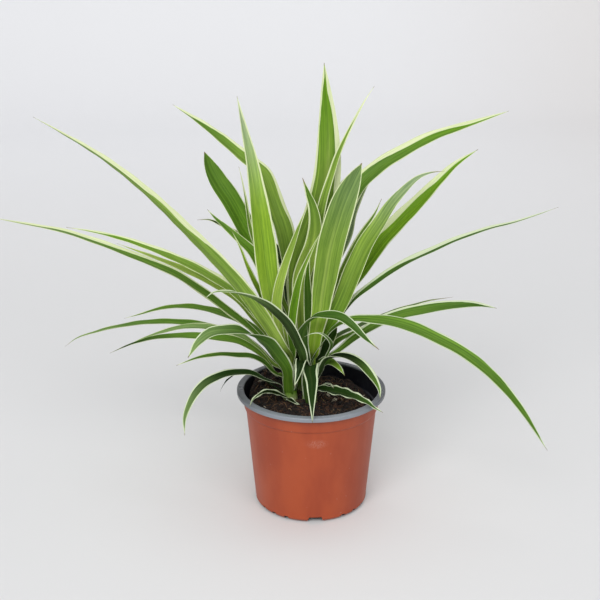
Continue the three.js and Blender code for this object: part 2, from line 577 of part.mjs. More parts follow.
/* The way the width runs where the blade is turned by some degrees from facing the eye. */
function facedSide(point, tangent, degrees) {
  const view = point.clone().sub(EYE).normalize();
  const across = view.clone().cross(tangent).normalize();
  const away = view.addScaledVector(tangent, -view.dot(tangent)).normalize();
  return across.multiplyScalar(Math.cos(radians(degrees))).addScaledVector(away, Math.sin(radians(degrees)));
}

/* Share of the full width at a share of the length: a narrow root and a long, tapered tip. */
function widthShare(along, { root = ROOT_SHARE, widest = WIDEST_AT, taper = TAPER }) {
  const low = THREE.MathUtils.lerp(root, 1, smooth(0, widest, along));
  const tip = 1 - Math.max(0, (along - widest) / (1 - widest)) ** taper;
  return low * tip;
}

/* Cross-sections along a leaf: six corners each, upper face first. */
function leafSections(route, sides, leaf) {
  const curve = new THREE.CatmullRomCurve3(route, false, 'centripetal');
  const wanted = Math.round(curve.getLength() / LEAF_STEP) + 1;
  const count = THREE.MathUtils.clamp(wanted, LEAF_STATIONS.fewest, LEAF_STATIONS.most);
  const sections = [];
  for (let i = 0; i < count; i += 1) {
    const along = i / (count - 1);
    const point = curve.getPointAt(along);
    const tangent = curve.getTangentAt(along);
    const blade = leaf.face ? facedSide(point, tangent, tableAt(leaf.face, along)) : sides.blade;
    const turnLength = leaf.face ? FACE_TURN_LENGTH : TURN_LENGTH;
    const side = sides.root.clone().lerp(blade, smooth(0, turnLength, along));
    side.addScaledVector(tangent, -side.dot(tangent)).normalize();
    const normal = side.clone().cross(tangent).normalize();
    const half = Math.max(TIP_WIDTH, leaf.width * widthShare(along, leaf)) / 2;
    const free = smooth(0, TURN_LENGTH, along);
    const fold = radians(THREE.MathUtils.lerp(FOLD_ROOT, FOLD_BLADE, free));
    const thick = BLADE / Math.cos(fold) / 2;
    const corner = (across, up) => point.clone()
      .addScaledVector(side, across * half * Math.cos(fold))
      .addScaledVector(normal, (Math.abs(across) - free / 2) * half * Math.sin(fold) + up * thick);
    const upper = [corner(-1, 1), corner(0, 1), corner(1, 1)];
    const under = [corner(1, -1), corner(0, -1), corner(-1, -1)];
    sections.push([...upper, ...under]);
  }
  return sections;
}

/* Joins the sections into one closed blade, split alike on both faces. */
function bladeGeometry(sections) {
  const corners = 6;
  const index = [];
  for (let i = 0; i + 1 < sections.length; i += 1) {
    for (let k = 0; k < corners; k += 1) {
      const a = i * corners + k;
      const b = i * corners + (k + 1) % corners;
      const c = b + corners;
      const d = a + corners;
      if (k < 3) {
        index.push(a, b, c, a, c, d);
      } else {
        index.push(a, b, d, b, c, d);
      }
    }
  }
  const last = (sections.length - 1) * corners;
  index.push(0, 5, 4, 0, 4, 1, 1, 4, 3, 1, 3, 2);
  index.push(last, last + 4, last + 5, last, last + 1, last + 4);
  index.push(last + 1, last + 3, last + 4, last + 1, last + 2, last + 3);
  const geometry = new THREE.BufferGeometry();
  geometry.setAttribute('position', new THREE.Float32BufferAttribute(
    sections.flat().flatMap((corner) => corner.toArray()), 3));
  geometry.setIndex(index);
  return facingOut(geometry);
}

function leafGeometry(leaf) {
  return bladeGeometry(leafSections(leafRoute(leaf), leafSides(leaf), leaf));
}

// ---------------------------------------------------------------- crowns

function smallLeafGeometry(leaf, crown) {
  const foot = new THREE.Vector3(crown.x, crown.y, crown.foot);
  const route = leaf.route.map((p) => new THREE.Vector3(...p).add(foot));
  const heading = THREE.MathUtils.radToDeg(
    Math.atan2(route.at(-1).y - route[0].y, route.at(-1).x - route[0].x));
  const side = compass(heading - 90);
  return bladeGeometry(leafSections(route, { root: side, blade: side }, leaf));
}

/* A crown is the sheathed stem with its small leaves rooted in it. */
function crownGeometry(name) {
  const crown = CROWNS[name];
  const top = CROWN_SHAPE.at(-1)[1] + CROWN_TIP;
  const profile = [[0, -CROWN_DEPTH], ...CROWN_SHAPE, [0, top]];
  const stem = turned(profile, CROWN_SIDES).translate(crown.x, crown.y, crown.foot);
  let solid = toSolid(stem);
  for (const leaf of SMALL_LEAVES.filter((small) => small.crown === name)) {
    solid = solid.add(toSolid(smallLeafGeometry(leaf, crown)));
  }
  for (const leaf of LEAVES.filter((young) => young.heart && young.crown === name)) {
    solid = solid.add(toSolid(leafGeometry(leaf)));
  }
  return toGeometry(outerShell(solid));
}

// ---------------------------------------------------------------- assembly

function piece(name, geometry, { color, roughness = LEAF_ROUGHNESS }) {
  const material = new THREE.MeshStandardMaterial({ color, roughness, metalness: 0 });
  const mesh = new THREE.Mesh(geometry, material);
  mesh.name = name;
  return mesh;
}

const plant = new THREE.Group();
plant.add(piece('nursery_pot', potGeometry(), POT_LOOK));
plant.add(piece('potting_soil', soilGeometry(), SOIL_LOOK));
for (const name of Object.keys(CROWNS)) {
  plant.add(piece(`crown_${name}`, crownGeometry(name), { color: TONES.lime }));
}
for (const leaf of LEAVES.filter((grown) => !grown.heart)) {
  plant.add(piece(`leaf_${leaf.name}`, leafGeometry(leaf), { color: TONES[leaf.tone] }));
}

export default plant;
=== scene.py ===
"""Looks of a potted spider plant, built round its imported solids.

Leaf routes and sizes are in millimetres, as in the solids' source, and become metres when a
mesh is made. +Z is up, the front of the plant faces -Y and its right side +X.
"""

import math
import random

import bpy
import numpy as np
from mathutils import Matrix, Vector, noise


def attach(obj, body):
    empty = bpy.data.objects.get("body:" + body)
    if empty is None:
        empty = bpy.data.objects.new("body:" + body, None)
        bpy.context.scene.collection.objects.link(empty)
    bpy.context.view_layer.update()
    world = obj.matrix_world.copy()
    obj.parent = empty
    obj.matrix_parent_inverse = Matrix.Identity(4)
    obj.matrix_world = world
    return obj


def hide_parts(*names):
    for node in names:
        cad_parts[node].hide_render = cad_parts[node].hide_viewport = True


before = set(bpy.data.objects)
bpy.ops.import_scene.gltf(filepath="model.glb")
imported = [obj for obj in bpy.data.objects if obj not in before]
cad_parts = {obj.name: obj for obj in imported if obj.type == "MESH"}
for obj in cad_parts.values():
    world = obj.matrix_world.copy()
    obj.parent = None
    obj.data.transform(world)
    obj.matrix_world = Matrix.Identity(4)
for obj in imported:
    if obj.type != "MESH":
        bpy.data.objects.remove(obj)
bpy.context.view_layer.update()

MM = 0.001
TINY = 1e-6

# ---------------------------------------------------------------- sizes shared with the solids

POT_HEIGHT = 98.5
RIM_RADIUS = 60.0
BASE_RADIUS = 45.4
WALL = 1.4
FLOOR = 2.0
RIM_BORE = 54.3
RIM_DROP = 3.4
BAND_BOTTOM = 82.5
BAND_STEP = 1.4
WALL_TOP_RADIUS = 52.8
BASE_ROUND = 3.6
FLOOR_FILLET = 2.0
GAP = 0.35

NOTCH_OUTSIDE = 4.0
NOTCH_START = 274
NOTCH_QUARTER = 90
SMALL_NOTCH_TURNS = (30, 45, 60)
DRAIN_HOLES = 6
DRAIN_RADIUS = 3.5
DRAIN_CIRCLE = 24.0

# Heap and hollow of the soil: x, y, height and spread.
SOIL_LEVEL = 87.5
HEAP = (-33.0, 21.0, 14.0, 19.0)
HOLLOW = (34.0, 8.0, -9.0, 20.0)
SOIL_RIM_RADIUS = 50.2

# Radius and height of points up a crown's stem, and the x, y and height of each crown's foot.
CROWN_DEPTH = 12.0
CROWN_SHAPE = ((3.0, -CROWN_DEPTH), (5.6, -6.0), (6.2, 0.0), (5.4, 10.0), (4.3, 22.0), (3.2, 34.0),
               (1.7, 42.0))
CROWNS = {"left": (-17.0, 0.0, 89.5), "front": (-1.0, -3.0, 88.5), "back": (-7.0, 16.0, 90.5)}

ROOT_SHARE = 0.36
WIDEST_AT = 0.42
TAPER = 1.6
FOLD_ROOT = 15.0
FOLD_BLADE = 24.0
TURN_LENGTH = 0.35
FACE_TURN_LENGTH = 0.14
LIFT = 9.0
LIFT_OUT = 1.6

# The eye that the leaf routes are drawn from, and how many degrees down it looks; see seen_point.
EYE = np.array((-9.0, -840.0, 470.5))
VIEW_PITCH = 19.5

# ---------------------------------------------------------------- colours of the leaves, 8-bit

GREENS = {
    "base": (155, 182, 82),
    "pale_base": (180, 202, 104),
    "lime": (136, 170, 54),
    "bright": (116, 156, 38),
    "fresh": (120, 150, 62),
    "grass": (96, 137, 34),
    "mid": (90, 125, 46),
    "deep": (66, 99, 36),
    "dark": (34, 58, 22),
    "night": (19, 35, 12),
    "grey": (114, 140, 86),
    # The glare green is a painted reflection: the pale sheen that light leaves on the upper parts of some
    # leaves.
    "glare": (146, 166, 132),
    "ash": (84, 106, 66),
}
CREAM = (216, 224, 178)
WHITE_CREAM = (208, 219, 184)
YELLOW_CREAM = (200, 212, 128)
DARK_MARGIN = GREENS["dark"]
DRY = (112, 84, 60)
UNDERSIDE = (112, 146, 84)
SHEATH_FOOT = (150, 158, 112)

# ---------------------------------------------------------------- leaves

RIB_SHARE = 0.03
WAVE = 0.22
SMALL_WAVE = 0.45
DRY_LENGTH = 1.5


class Leaf:
    """One leaf of the tables. What its line leaves out has the usual value below."""

    heart = False        # True: the crown wraps it, so it belongs to the crown's node
    at = False           # True: its route is in x, y, z instead of right, up, depth
    nudge = (0, 0)       # mm that its middle is moved right and up; see nudged
    roll = 0             # degrees that the blade leans over
    face = ()            # pairs: share of the length, degrees that the blade is turned from the eye
    root = ROOT_SHARE    # width at the root, as a share of the full width
    widest = WIDEST_AT   # share of the length where it is widest
    taper = TAPER        # a high number keeps it wide for longer
    wave = WAVE          # mm that its margins wave up and down
    rib = RIB_SHARE      # share of yellow cream along the keel
    dry = DRY_LENGTH     # mm of its tip that are brown
    cream = CREAM        # colour of its margins
    outer = None         # margin widths on its outer half, where they differ from the inner half's

    def __init__(self, name, crown, seat, width, tint, margins, route, **more):
        self.name = name
        self.crown = crown
        self.seat = seat
        self.width = width
        self.tint = tint.split()
        self.margins = margins
        self.route = route
        for key, value in more.items():
            setattr(self, key, value)


def small_leaf(name, crown, width, tint, margins, route, **more):
    """A short leaf that its crown carries. Its route is in x, y, z from the crown's foot."""
    looks = {"cream": WHITE_CREAM, "wave": SMALL_WAVE, **more}
    return Leaf(name, crown, None, width, tint, margins, route, **looks)


# Name, crown, seat, width, tints of root, middle and tip, cream margins in mm, route, and the rest.
# The seat is the heading of the blade and the side of the crown that it leaves, both in degrees
# from +X, and its rise above the crown's foot. The margins are the one at heading + 90 degrees,
# then the one at heading - 90. The route is right, up and depth, as seen_point reads them. A small
# leaf has no seat.
LEAVES = (
    Leaf("left_rim_arch", "left", (218, 205, 2), 11, "dark dark grey", (0.4, 0.5),
        ((-34.8, 7, -14), (-45.3, 12.5, -23), (-56.3, 14, -33), (-70.9, 11.6, -45), (-82.9, 5.6, -53),
         (-92, -4, -60), (-97.2, -14, -64), (-101, -25, -66), (-101.5, -38.5, -68)),
        cream=WHITE_CREAM, taper=2.2, nudge=(-2.6, -2.8), outer=(0.8, 0.9),
        face=((0, 115), (0.2, 75), (0.45, 62), (0.6, 50), (0.75, 25), (1, 20))),
    Leaf("left_low_thin", "left", (207, 185, 5), 10, "mid deep mid", (0.5, 0.4),
        ((-30, 12, -7), (-40, 21.5, -15), (-49.5, 25.5, -23), (-57.5, 26, -26), (-73.5, 27, -33),
         (-90, 24.6, -39), (-98, 22, -42), (-109, 17.5, -46)),
        heart=True, nudge=(0, -1), face=((0, 95), (0.2, 68), (0.6, 62), (1, 50))),
    Leaf("left_broad_arch", "left", (222, 255, 7), 16, "grass deep grey", (0.8, 1.0),
        ((-21, 15, -14), (-30, 29, -22), (-39, 39, -31), (-53, 46, -42), (-67, 47.5, -51), (-82, 45, -58),
         (-92, 37, -63), (-100, 24, -66)),
        cream=WHITE_CREAM, widest=0.4, taper=3.5, root=0.5, nudge=(1.4, -2),
        face=((0, 165), (0.25, 142), (0.45, 132), (0.55, 100), (0.65, 62), (0.8, 50), (0.9, 30), (1, 20))),
    Leaf("left_flat_dark", "left", (178, 165, 10), 12, "fresh mid dark", (0.6, 0.6),
        ((-28, 10, 2), (-36, 21, 1), (-45, 30, -1), (-57, 37, -2), (-70, 40, -3), (-98, 42, -3),
         (-122, 41, -2), (-143, 36, -1), (-163, 27.5, 0)),
        roll=10, nudge=(0, -1.3), outer=(0.2, 0.25), dry=4),
    Leaf("left_flat_pale", "left", (168, 145, 13), 11, "fresh grey grey", (0.9, 0.7),
        ((-31, 19, 9), (-45, 33, 14), (-61, 44, 18), (-82, 49, 21), (-98, 50, 23), (-114, 47, 25),
         (-130, 42, 27), (-148, 34.5, 28)),
        nudge=(0, -1.3), outer=(0.3, 0.5), dry=3, face=((0, 58), (1, 58))),
    Leaf("left_flat_long", "left", (158, 125, 17), 12, "mid mid grey", (0.5, 0.5),
        ((-30, 20, 16), (-43, 33, 23), (-57, 42, 29), (-78, 49, 36), (-97, 53, 42), (-128, 54, 50),
         (-158, 50, 57), (-177, 45, 61), (-190, 40, 64), (-199, 33, 66)),
        nudge=(0, -2), outer=(0.2, 0.3), dry=9, face=((0, 40), (0.2, 62), (1, 64))),
    Leaf("left_back_thin", "left", (148, 105, 21), 12.5, "mid mid mid", (0.6, 0.5),
        ((-29, 33, 20), (-48, 50, 34), (-72, 61, 47), (-86, 65, 54), (-102, 67, 60), (-122, 65, 67),
         (-138, 60, 71), (-151, 56, 74)), nudge=(0, -2.3), face=((0, 25), (0.25, 60), (1, 60))),
    Leaf("left_long_low", "left", (168, 168, 17), 11.5, "mid mid grey", (3.2, 0.7),
        ((-30, 27, 6), (-49, 47, 12), (-65, 60, 16), (-90, 79, 21), (-108, 91, 25), (-130, 101, 29),
         (-171, 117, 36), (-203, 127, 42), (-227, 131.5, 46), (-258, 137, 50)),
        roll=15, heart=True, widest=0.3, taper=2.4, nudge=(0, -1), outer=(0.6, 2.6)),
    Leaf("left_long_under", "left", (176, 155, 15), 13, "fresh base pale_base", (0.9, 0.5),
        ((-30, 34, 1), (-46, 54, 2), (-62, 72, 3), (-85, 86, 4), (-106, 96, 7), (-128, 105, 9),
         (-157, 116, 12)), roll=15, heart=True),
    Leaf("left_long_mid", "left", (182, 210, 21), 14, "fresh fresh grass", (0.8, 3.0),
        ((-28, 38, -9), (-47, 61, -8), (-65, 79, -7), (-86, 92, -7), (-106, 102, -7), (-130, 112, -7),
         (-154, 120, -7), (-179, 126, -7), (-198, 129, -7)),
        widest=0.3, dry=6, outer=(0.6, 1.7), face=((0, 70), (0.3, 52), (0.6, 48), (1, 45))),
    Leaf("left_long_high", "left", (188, 268, 28), 14, "base fresh grey", (0.8, 0.6),
        ((-23, 30, -17), (-39, 54, -24), (-63, 86, -29), (-106, 130.5, -33), (-138, 160.5, -34),
         (-171, 186, -35), (-203, 205.5, -35), (-225, 218, -34)),
        widest=0.3, taper=1.6, root=0.4, nudge=(0.8, 0.8), outer=(3.4, 0.5),
        face=((0, 178), (0.3, 150), (0.6, 140), (1, 135))),
    Leaf("left_inner_front", "left", (95, 310, 20), 8, "mid grass fresh", (0.6, 0.6),
        ((-16, 42, -7), (-15, 58, -6), (-13, 71, -6), (-9.5, 87, -6), (-5, 99, -7), (1.5, 113, -8),
         (7, 124, -8))),
    Leaf("left_narrow_upright", "left", (160, 160, 26), 8, "base lime lime", (0.7, 0.7),
        ((-28, 45, 9), (-39, 71, 13), (-47, 87, 13), (-53, 101, 15), (-58, 114, 17), (-64, 126, 19)),
        roll=40, heart=True),
    Leaf("left_upright_short", "left", (140, 140, 26), 12, "base grass mid", (0.6, 0.6),
        ((-26, 52, 8), (-35, 82, 14), (-47, 108, 22), (-57, 118, 26), (-67, 127, 30), (-77, 136, 34),
         (-84, 143.5, 37)), roll=20, heart=True, taper=2.4),
    Leaf("left_tall", "left", (112, 112, 28), 21, "base lime glare", (0.9, 1.3),
        ((-26, 46, 1), (-33, 76, 4), (-38.5, 119, 9), (-43, 152, 13), (-48.5, 184, 18), (-54, 208, 22),
         (-60, 235, 26)), heart=True, taper=1.45),
    Leaf("left_inner_sweep", "left", (95, 95, 24), 9, "pale_base base fresh", (0.7, 0.5),
        ((-24, 40, 1), (-28, 63, 1), (-26.5, 79, 1), (-23, 93, 2), (-19, 105, 3), (-14.5, 117, 4),
         (-11, 127, 5), (-3, 147, 7)), heart=True),

    Leaf("front_fold", "front", (270, 255, 0), 14.5, "deep dark dark", (1.1, 1.1),
        ((-0.5, 12, -18), (-0.5, 18, -23), (-1, 13, -29), (0.5, 5, -38), (0.7, -4.5, -48),
         (0.8, -13.5, -57), (1, -29, -66)), widest=0.35, wave=0.5, cream=WHITE_CREAM),
    Leaf("front_right_low", "front", (308, 300, 2), 12.5, "dark dark deep", (1.0, 0.9),
        ((8, -1, -14), (15.5, -2, -19), (24, -3.5, -25), (32.5, -6, -31), (43, -10.5, -38), (51, -16, -43),
         (58, -20.5, -48)),
        wave=0.8, cream=WHITE_CREAM, nudge=(0, -1), face=((0, 225), (0.2, 290), (0.45, 310), (1, 318))),
    Leaf("front_right_arch", "front", (331, 303, 9), 12, "night night mid", (1.3, 1.0),
        ((8.5, 15, -13), (12.5, 24, -15), (19, 27, -17), (27, 27, -20), (34, 25, -24), (41.2, 20.5, -28),
         (47.1, 14, -31), (52.2, 6.5, -33), (55.5, -1, -34), (56, -9, -34)),
        cream=WHITE_CREAM, widest=0.45, taper=2.6, nudge=(-1, -2.2),
        face=((0, 222), (0.25, 228), (0.4, 268), (0.5, 290), (0.65, 312), (0.8, 322), (1, 325))),
    Leaf("front_hook", "front", (310, 330, 16), 4, "deep deep ash", (0.6, 0.6),
        ((11, 20, -3), (12.5, 25, -5), (16.2, 32, -10), (16.4, 35, -14), (13.5, 39.5, -19), (7, 43.6, -23),
         (0, 43, -25), (-6.5, 40, -26)), heart=True, cream=WHITE_CREAM),
    Leaf("front_broad_arch", "front", (318, 250, 22), 13, "dark deep deep", (0.7, 0.7),
        ((-7, 36, -12), (-5, 49, -17), (2.5, 56.5, -23), (13, 57.8, -29), (24, 56, -34), (33, 50, -38),
         (41, 42, -42), (49, 35, -46), (55, 30, -49)),
        cream=WHITE_CREAM, widest=0.35, dry=7, taper=2.4,
        face=((0, 160), (0.2, 185), (0.33, 212), (0.45, 262), (0.6, 300), (0.75, 328), (1, 332))),
    Leaf("front_left_arch", "front", (208, 232, 9), 12, "deep night grey", (0.7, 0.9),
        ((-8, 25, -20), (-12, 35, -25), (-17, 45, -30), (-25, 56, -35), (-40, 68, -42), (-53, 74, -48),
         (-67, 77, -54), (-79, 76.5, -58), (-86, 71.5, -60)),
        cream=WHITE_CREAM, widest=0.35, taper=2.4, nudge=(0.8, 0),
        face=((0, 142), (0.3, 132), (0.5, 135), (0.65, 128), (0.76, 112), (0.85, 80), (0.93, 55), (1, 50))),
    Leaf("right_long_droop", "front", (340, 345, 25), 14, "mid mid mid", (0.8, 1.3),
        ((9, 35, -5), (19, 48, -9), (32, 55, -16), (52, 55, -26), (72, 52, -36), (88, 46.5, -43),
         (104, 39, -50), (120.5, 30, -55), (137, 18, -59), (153, 3, -62), (169, -16.5, -64),
         (191, -51, -65)),
        heart=True, cream=WHITE_CREAM, taper=2.2, dry=4, nudge=(-0.5, -1.2),
        face=((0, 255), (0.12, 280), (0.3, 307), (0.45, 315), (1, 320))),
    Leaf("right_level", "front", (8, 26, 9), 13, "mid mid deep", (1.6, 0.6),
        ((12, 22, 1), (24, 32, 2), (35, 41, 3), (60, 56, 6), (72, 60, 7), (88, 63.5, 9), (104, 66, 11),
         (120, 67.5, 12), (137, 67, 13), (150, 64, 14)),
        widest=0.55, cream=WHITE_CREAM, taper=2.6, nudge=(0, -1.8),
        face=((0, 296), (0.3, 308), (0.6, 316), (1, 320))),
    Leaf("right_short", "front", (25, 42, 13), 8, "deep mid mid", (0.6, 0.6),
        ((13, 29, 11), (23, 38, 16), (31, 42, 18), (41, 47, 20), (48, 49.5, 23), (55, 50, 26)),
        roll=10, heart=True),
    Leaf("right_thin", "front", (36, 66, 16), 7, "deep ash ash", (0.4, 0.4),
        ((16, 38, 17), (38, 50, 31), (56, 58, 41), (72, 64, 49), (96, 70.5, 59), (115, 73, 66)),
        heart=True, dry=20, nudge=(0, -1.2)),
    Leaf("right_long_straight", "front", (18, 22, 24), 9, "mid deep deep", (2.6, 0.3),
        ((14, 44, 3), (28, 63.5, 8), (37, 74, 11), (53, 86, 16), (72, 99, 21), (96, 110.5, 27),
         (120.5, 121, 33), (145, 129, 38), (169, 135, 43), (200, 145.5, 48)),
        roll=15, heart=True, cream=WHITE_CREAM, dry=6, nudge=(0, -0.8), outer=(3.2, 0.3)),
    Leaf("right_upright_broad", "front", (62, 62, 26), 17, "grass fresh glare", (0.8, 0.6),
        ((9, 42, -1), (21.5, 63, 2), (29, 80.5, 4), (36.5, 99, 6), (45, 117, 9), (56, 134, 12),
         (66, 149, 15), (78, 162, 18), (87, 169.5, 21), (96, 173, 23), (108, 174.5, 26)),
        roll=10, heart=True, taper=1.4, outer=(0.4, 0.3), dry=12),
    Leaf("right_upright_narrow", "front", (72, 72, 26), 7, "fresh fresh mid", (0.9, 0.6),
        ((9, 50, 4), (20, 79, 11), (26, 94, 15), (33, 110, 18), (41, 125, 21), (51, 139.5, 25),
         (57, 152, 28)), heart=True, dry=5, taper=2.2),
    Leaf("middle_broad", "front", (88, 88, 28), 23, "lime fresh grey", (0.8, 0.8),
        ((1, 27, -4), (4, 45, -5), (7.5, 61, -5), (9, 74, -4), (11.5, 89.5, -3), (14, 105, -2),
         (17, 119, 0), (21, 133, 2), (25, 145.5, 4), (29.5, 157, 7), (35, 169, 10), (41, 181, 13)),
        heart=True, taper=3.5, widest=0.62, root=0.4, rib=0.22),
    Leaf("middle_dark", "front", (90, 90, 26), 9, "mid deep grass", (0.6, 0.6),
        ((-1, 40, 0), (-2, 63, 2), (-3, 90, 3), (-1, 112, 4)), heart=True),
    Leaf("front_inner_dark", "front", (60, 60, 20), 10, "deep dark deep", (0.7, 0.7),
        ((9, 24, 2), (14, 36, 3), (21, 48, 4)), heart=True, taper=4, widest=0.6),

    Leaf("middle_tall", "back", (88, 88, 28), 26, "fresh fresh grass", (1.6, 4.2),
        ((-10, 42, 20), (-11, 63, 22), (-10.5, 83, 23), (-6, 107, 25), (2, 127.5, 27), (9, 150, 29),
         (13, 172, 31), (14, 192, 33), (13.5, 216, 35), (12, 241, 38), (10.5, 262, 41)),
        heart=True, taper=2.4, rib=0.35),
    Leaf("middle_curl", "back", (95, 95, 24), 16, "fresh base mid", (1.2, 0.6),
        ((-7, 52, 13), (-8, 87, 11), (-4, 101.5, 11), (1, 115, 11), (3, 131, 12), (1.5, 144, 13),
         (-2.5, 156, 15), (-7, 169, 17)), heart=True, taper=2.3, dry=6),
    Leaf("middle_lean", "back", (80, 80, 26), 10.5, "pale_base fresh fresh", (1.0, 0.8),
        ((-4, 55, 17), (-3, 87, 18), (1, 111, 18), (6, 134, 19), (10.5, 153, 20), (15.5, 169.5, 22),
         (21, 186.5, 24), (27.5, 201, 26), (35.5, 217, 29), (43.5, 231.5, 32), (51, 243, 35)),
        heart=True, taper=1.2, widest=0.35),
    Leaf("right_back_narrow", "back", (55, 55, 24), 10, "base glare glare", (1.2, 1.2),
        ((1, 60, 30), (17, 95, 40), (30.5, 122.5, 48), (35, 140, 52), (41.5, 156, 56), (47.5, 167, 60),
         (54, 178, 64)), heart=True),
    Leaf("middle_back", "back", (75, 75, 20), 10, "mid deep grey", (0.6, 0.6),
        ((-3, 68, 32), (6, 120, 42), (15, 147, 48), (24, 163, 52), (32, 171, 56), (44, 176, 62)),
        heart=True, dry=8),
    Leaf("right_high_arch", "back", (35, 10, 22), 18, "fresh mid grass", (3.4, 1.0),
        ((1, 56, 22), (9, 88, 27), (18, 114, 32), (30, 147.5, 38), (41, 165, 42), (57, 179, 46),
         (73, 189, 50), (97, 201.5, 55), (129, 212.5, 61), (160, 223, 66)), roll=20, heart=True, taper=2.4),
    Leaf("right_upright_far", "back", (28, 330, 16), 19, "bright bright grass", (4.0, 0.8),
        ((7, 44, 18), (25, 75, 26), (44.5, 101.5, 32), (57, 118.5, 36), (72, 134.5, 40), (88.5, 151, 43),
         (104, 167.5, 46), (117, 180, 49), (135, 192, 52)), roll=38, taper=2.2),
    Leaf("left_back_high", "back", (130, 165, 24), 21, "mid fresh mid", (0.9, 2.2),
        ((-15, 60, 26), (-17, 95, 33), (-19, 107, 36), (-23, 127, 40), (-30, 146, 45), (-40, 171, 52),
         (-56.5, 186, 60), (-75, 201.5, 68), (-91, 214, 74), (-112, 228, 81)),
        heart=True, taper=2.2, nudge=(0, 1)),
    Leaf("left_back_blunt", "back", (145, 190, 16), 21, "mid grass mid", (0.4, 0.5),
        ((-21, 50, 27), (-34, 82, 38), (-46, 110, 46), (-58.5, 133, 52), (-67, 149, 56), (-76.5, 164, 60),
         (-83, 177, 63), (-87, 190, 66)), roll=30, heart=True, taper=5, widest=0.65, nudge=(2.4, 0.5)),
    Leaf("left_back_sliver", "back", (130, 130, 20), 7, "fresh fresh fresh", (0.8, 0.8),
        ((-19, 60, 22), (-34, 92, 31), (-48, 123, 38), (-53, 152, 44), (-56, 168, 48), (-58.5, 178, 50)),
        heart=True),
    Leaf("left_back_curl", "back", (152, 150, 14), 11, "deep dark dark", (0.7, 0.7),
        ((-16, 55, 36), (-20, 90, 50), (-27, 109, 58), (-38, 117, 66), (-50, 118.5, 73), (-61.5, 125, 80),
         (-72, 130.5, 86), (-82, 135, 92), (-92, 135, 98)), heart=True, dry=8, face=((0, 15), (1, 40))),

    Leaf("back_arch_left", "back", (120, 125, 6), 13, "mid deep mid", (0.9, 0.9),
        ((-15, 36, 132), (-22, 60, 156), (-28, 86, 161), (-33, 108, 148), (-36, 124, 122), (-38, 132, 92)),
        at=True),
    Leaf("back_arch_middle", "back", (92, 92, 1), 13, "mid mid deep", (0.9, 0.9),
        ((-7, 34, 124), (-8, 60, 150), (-9, 94, 158), (-10, 125, 140), (-11, 146, 108), (-11, 156, 78)),
        at=True),
    Leaf("back_arch_right", "back", (60, 55, 6), 13, "deep dark deep", (0.9, 0.9),
        ((4, 34, 128), (12, 57, 150), (20, 82, 154), (27, 102, 138), (31, 116, 108)), at=True),
)

SMALL_LEAVES = (
    small_leaf("left_rim_thread", "left", 5, "dark dark night", (0.5, 0.5),
        ((-3, 0, 2), (-8, 0, 6), (-16, 1.5, 11), (-27, 3, 17.5), (-38.7, 3, 22), (-44.4, 2, 19.5),
         (-49.2, 1, 16), (-53.3, 0, 11.8), (-56.5, -1, 5.5)), cream=DARK_MARGIN),
    small_leaf("left_low_curl", "left", 7, "dark night ash", (0.9, 0.9),
        ((-1, -2, 0), (-4, -8, 4), (-10, -14, 9.5), (-18.5, -22, 14.5), (-24.5, -29, 14.8),
         (-29.5, -34, 12), (-31.3, -37.5, 8.8)), face=((0, 60), (1, 50))),
    small_leaf("left_low_short", "left", 6, "dark night dark", (0.8, 0.8),
        ((-2, -5, 1), (-0.5, -10, 2.5), (3, -14, 2), (8, -16, 0.5))),
    small_leaf("left_low_hook", "left", 3.5, "dark night night", (0.7, 0.7),
        ((3, -2.5, 4), (4.8, -6, 12), (4.6, -10, 23.5), (4.8, -14, 34), (6.2, -17, 37), (7.2, -19, 31.5),
         (6, -20, 21))),
    small_leaf("front_low_thread", "front", 4, "dark night night", (0.7, 0.7),
        ((2, 0, 6), (7, -2, 11.5), (12, -6, 16.5), (16, -12, 19), (18.5, -18, 18))),
    small_leaf("front_low_curl", "front", 11, "night deep lime", (0.5, 0.5),
        ((2, 2, 11), (5.5, 2.5, 23), (10, 1, 31), (15, -2, 34.5), (20, -6, 33), (24.5, -9.5, 30),
         (27.5, -12, 26)), face=((0, 320), (1, 325)), dry=3),
    # The six heart leaves below are near black with dark margins: painted shade, dark blades that fill the
    # gaps between the crowns' stems.
    small_leaf("front_heart_short", "front", 9, "night night dark", (0.4, 0.4),
        ((0, 2, 4), (2.5, 5, 24), (5, 8, 40), (9, 10, 55)), cream=DARK_MARGIN),
    small_leaf("front_heart_left", "front", 8, "night dark dark", (0.4, 0.4),
        ((0, 1, 4), (-1.5, 3, 24), (-3, 6, 42), (-4, 10, 60)), cream=DARK_MARGIN),
    small_leaf("left_heart_short", "left", 9, "night dark deep", (0.4, 0.4),
        ((0, 2, 4), (1.5, 6, 24), (3, 10, 44), (5, 14, 62)), cream=DARK_MARGIN),
    small_leaf("left_heart_low", "left", 8, "night dark deep", (0.4, 0.4),
        ((0, 1, 4), (-4, 5, 18), (-10, 9, 32), (-17, 13, 42)), cream=DARK_MARGIN),
    small_leaf("back_heart_right", "back", 9, "night night dark", (0.4, 0.4),
        ((2, 0, 4), (8, 1, 24), (14, 2, 40), (22, 4, 54)), cream=DARK_MARGIN),
    small_leaf("back_heart_left", "back", 9, "night night dark", (0.4, 0.4),
        ((-1, 0, 4), (-4, 1, 26), (-9, 3, 44), (-16, 6, 60)), cream=DARK_MARGIN),
    small_leaf("front_left_fold", "front", 10, "night night dark", (0.8, 0.8),
        ((-0.5, -4, 10), (-2.5, -10, 27), (-4, -16, 37), (-6.5, -22, 43.5), (-7.5, -26.5, 44),
         (-8.5, -30.5, 39.5), (-10.5, -34, 33), (-12.5, -36, 27.5)), widest=0.6, taper=1.5),
)

# ---------------------------------------------------------------- blades

# Distances are in mm. A pair says where a change along the blade starts and ends, as shares of its
# length unless it says reach.
STATION_STEP = 2.6
FEWEST_STATIONS = 12
ROUTE_SAMPLES = 40
NUDGE_START = 0.2
NUDGE_END = 0.92
SUNK_IN = 2.4
SUNK_DOWN = 5.0

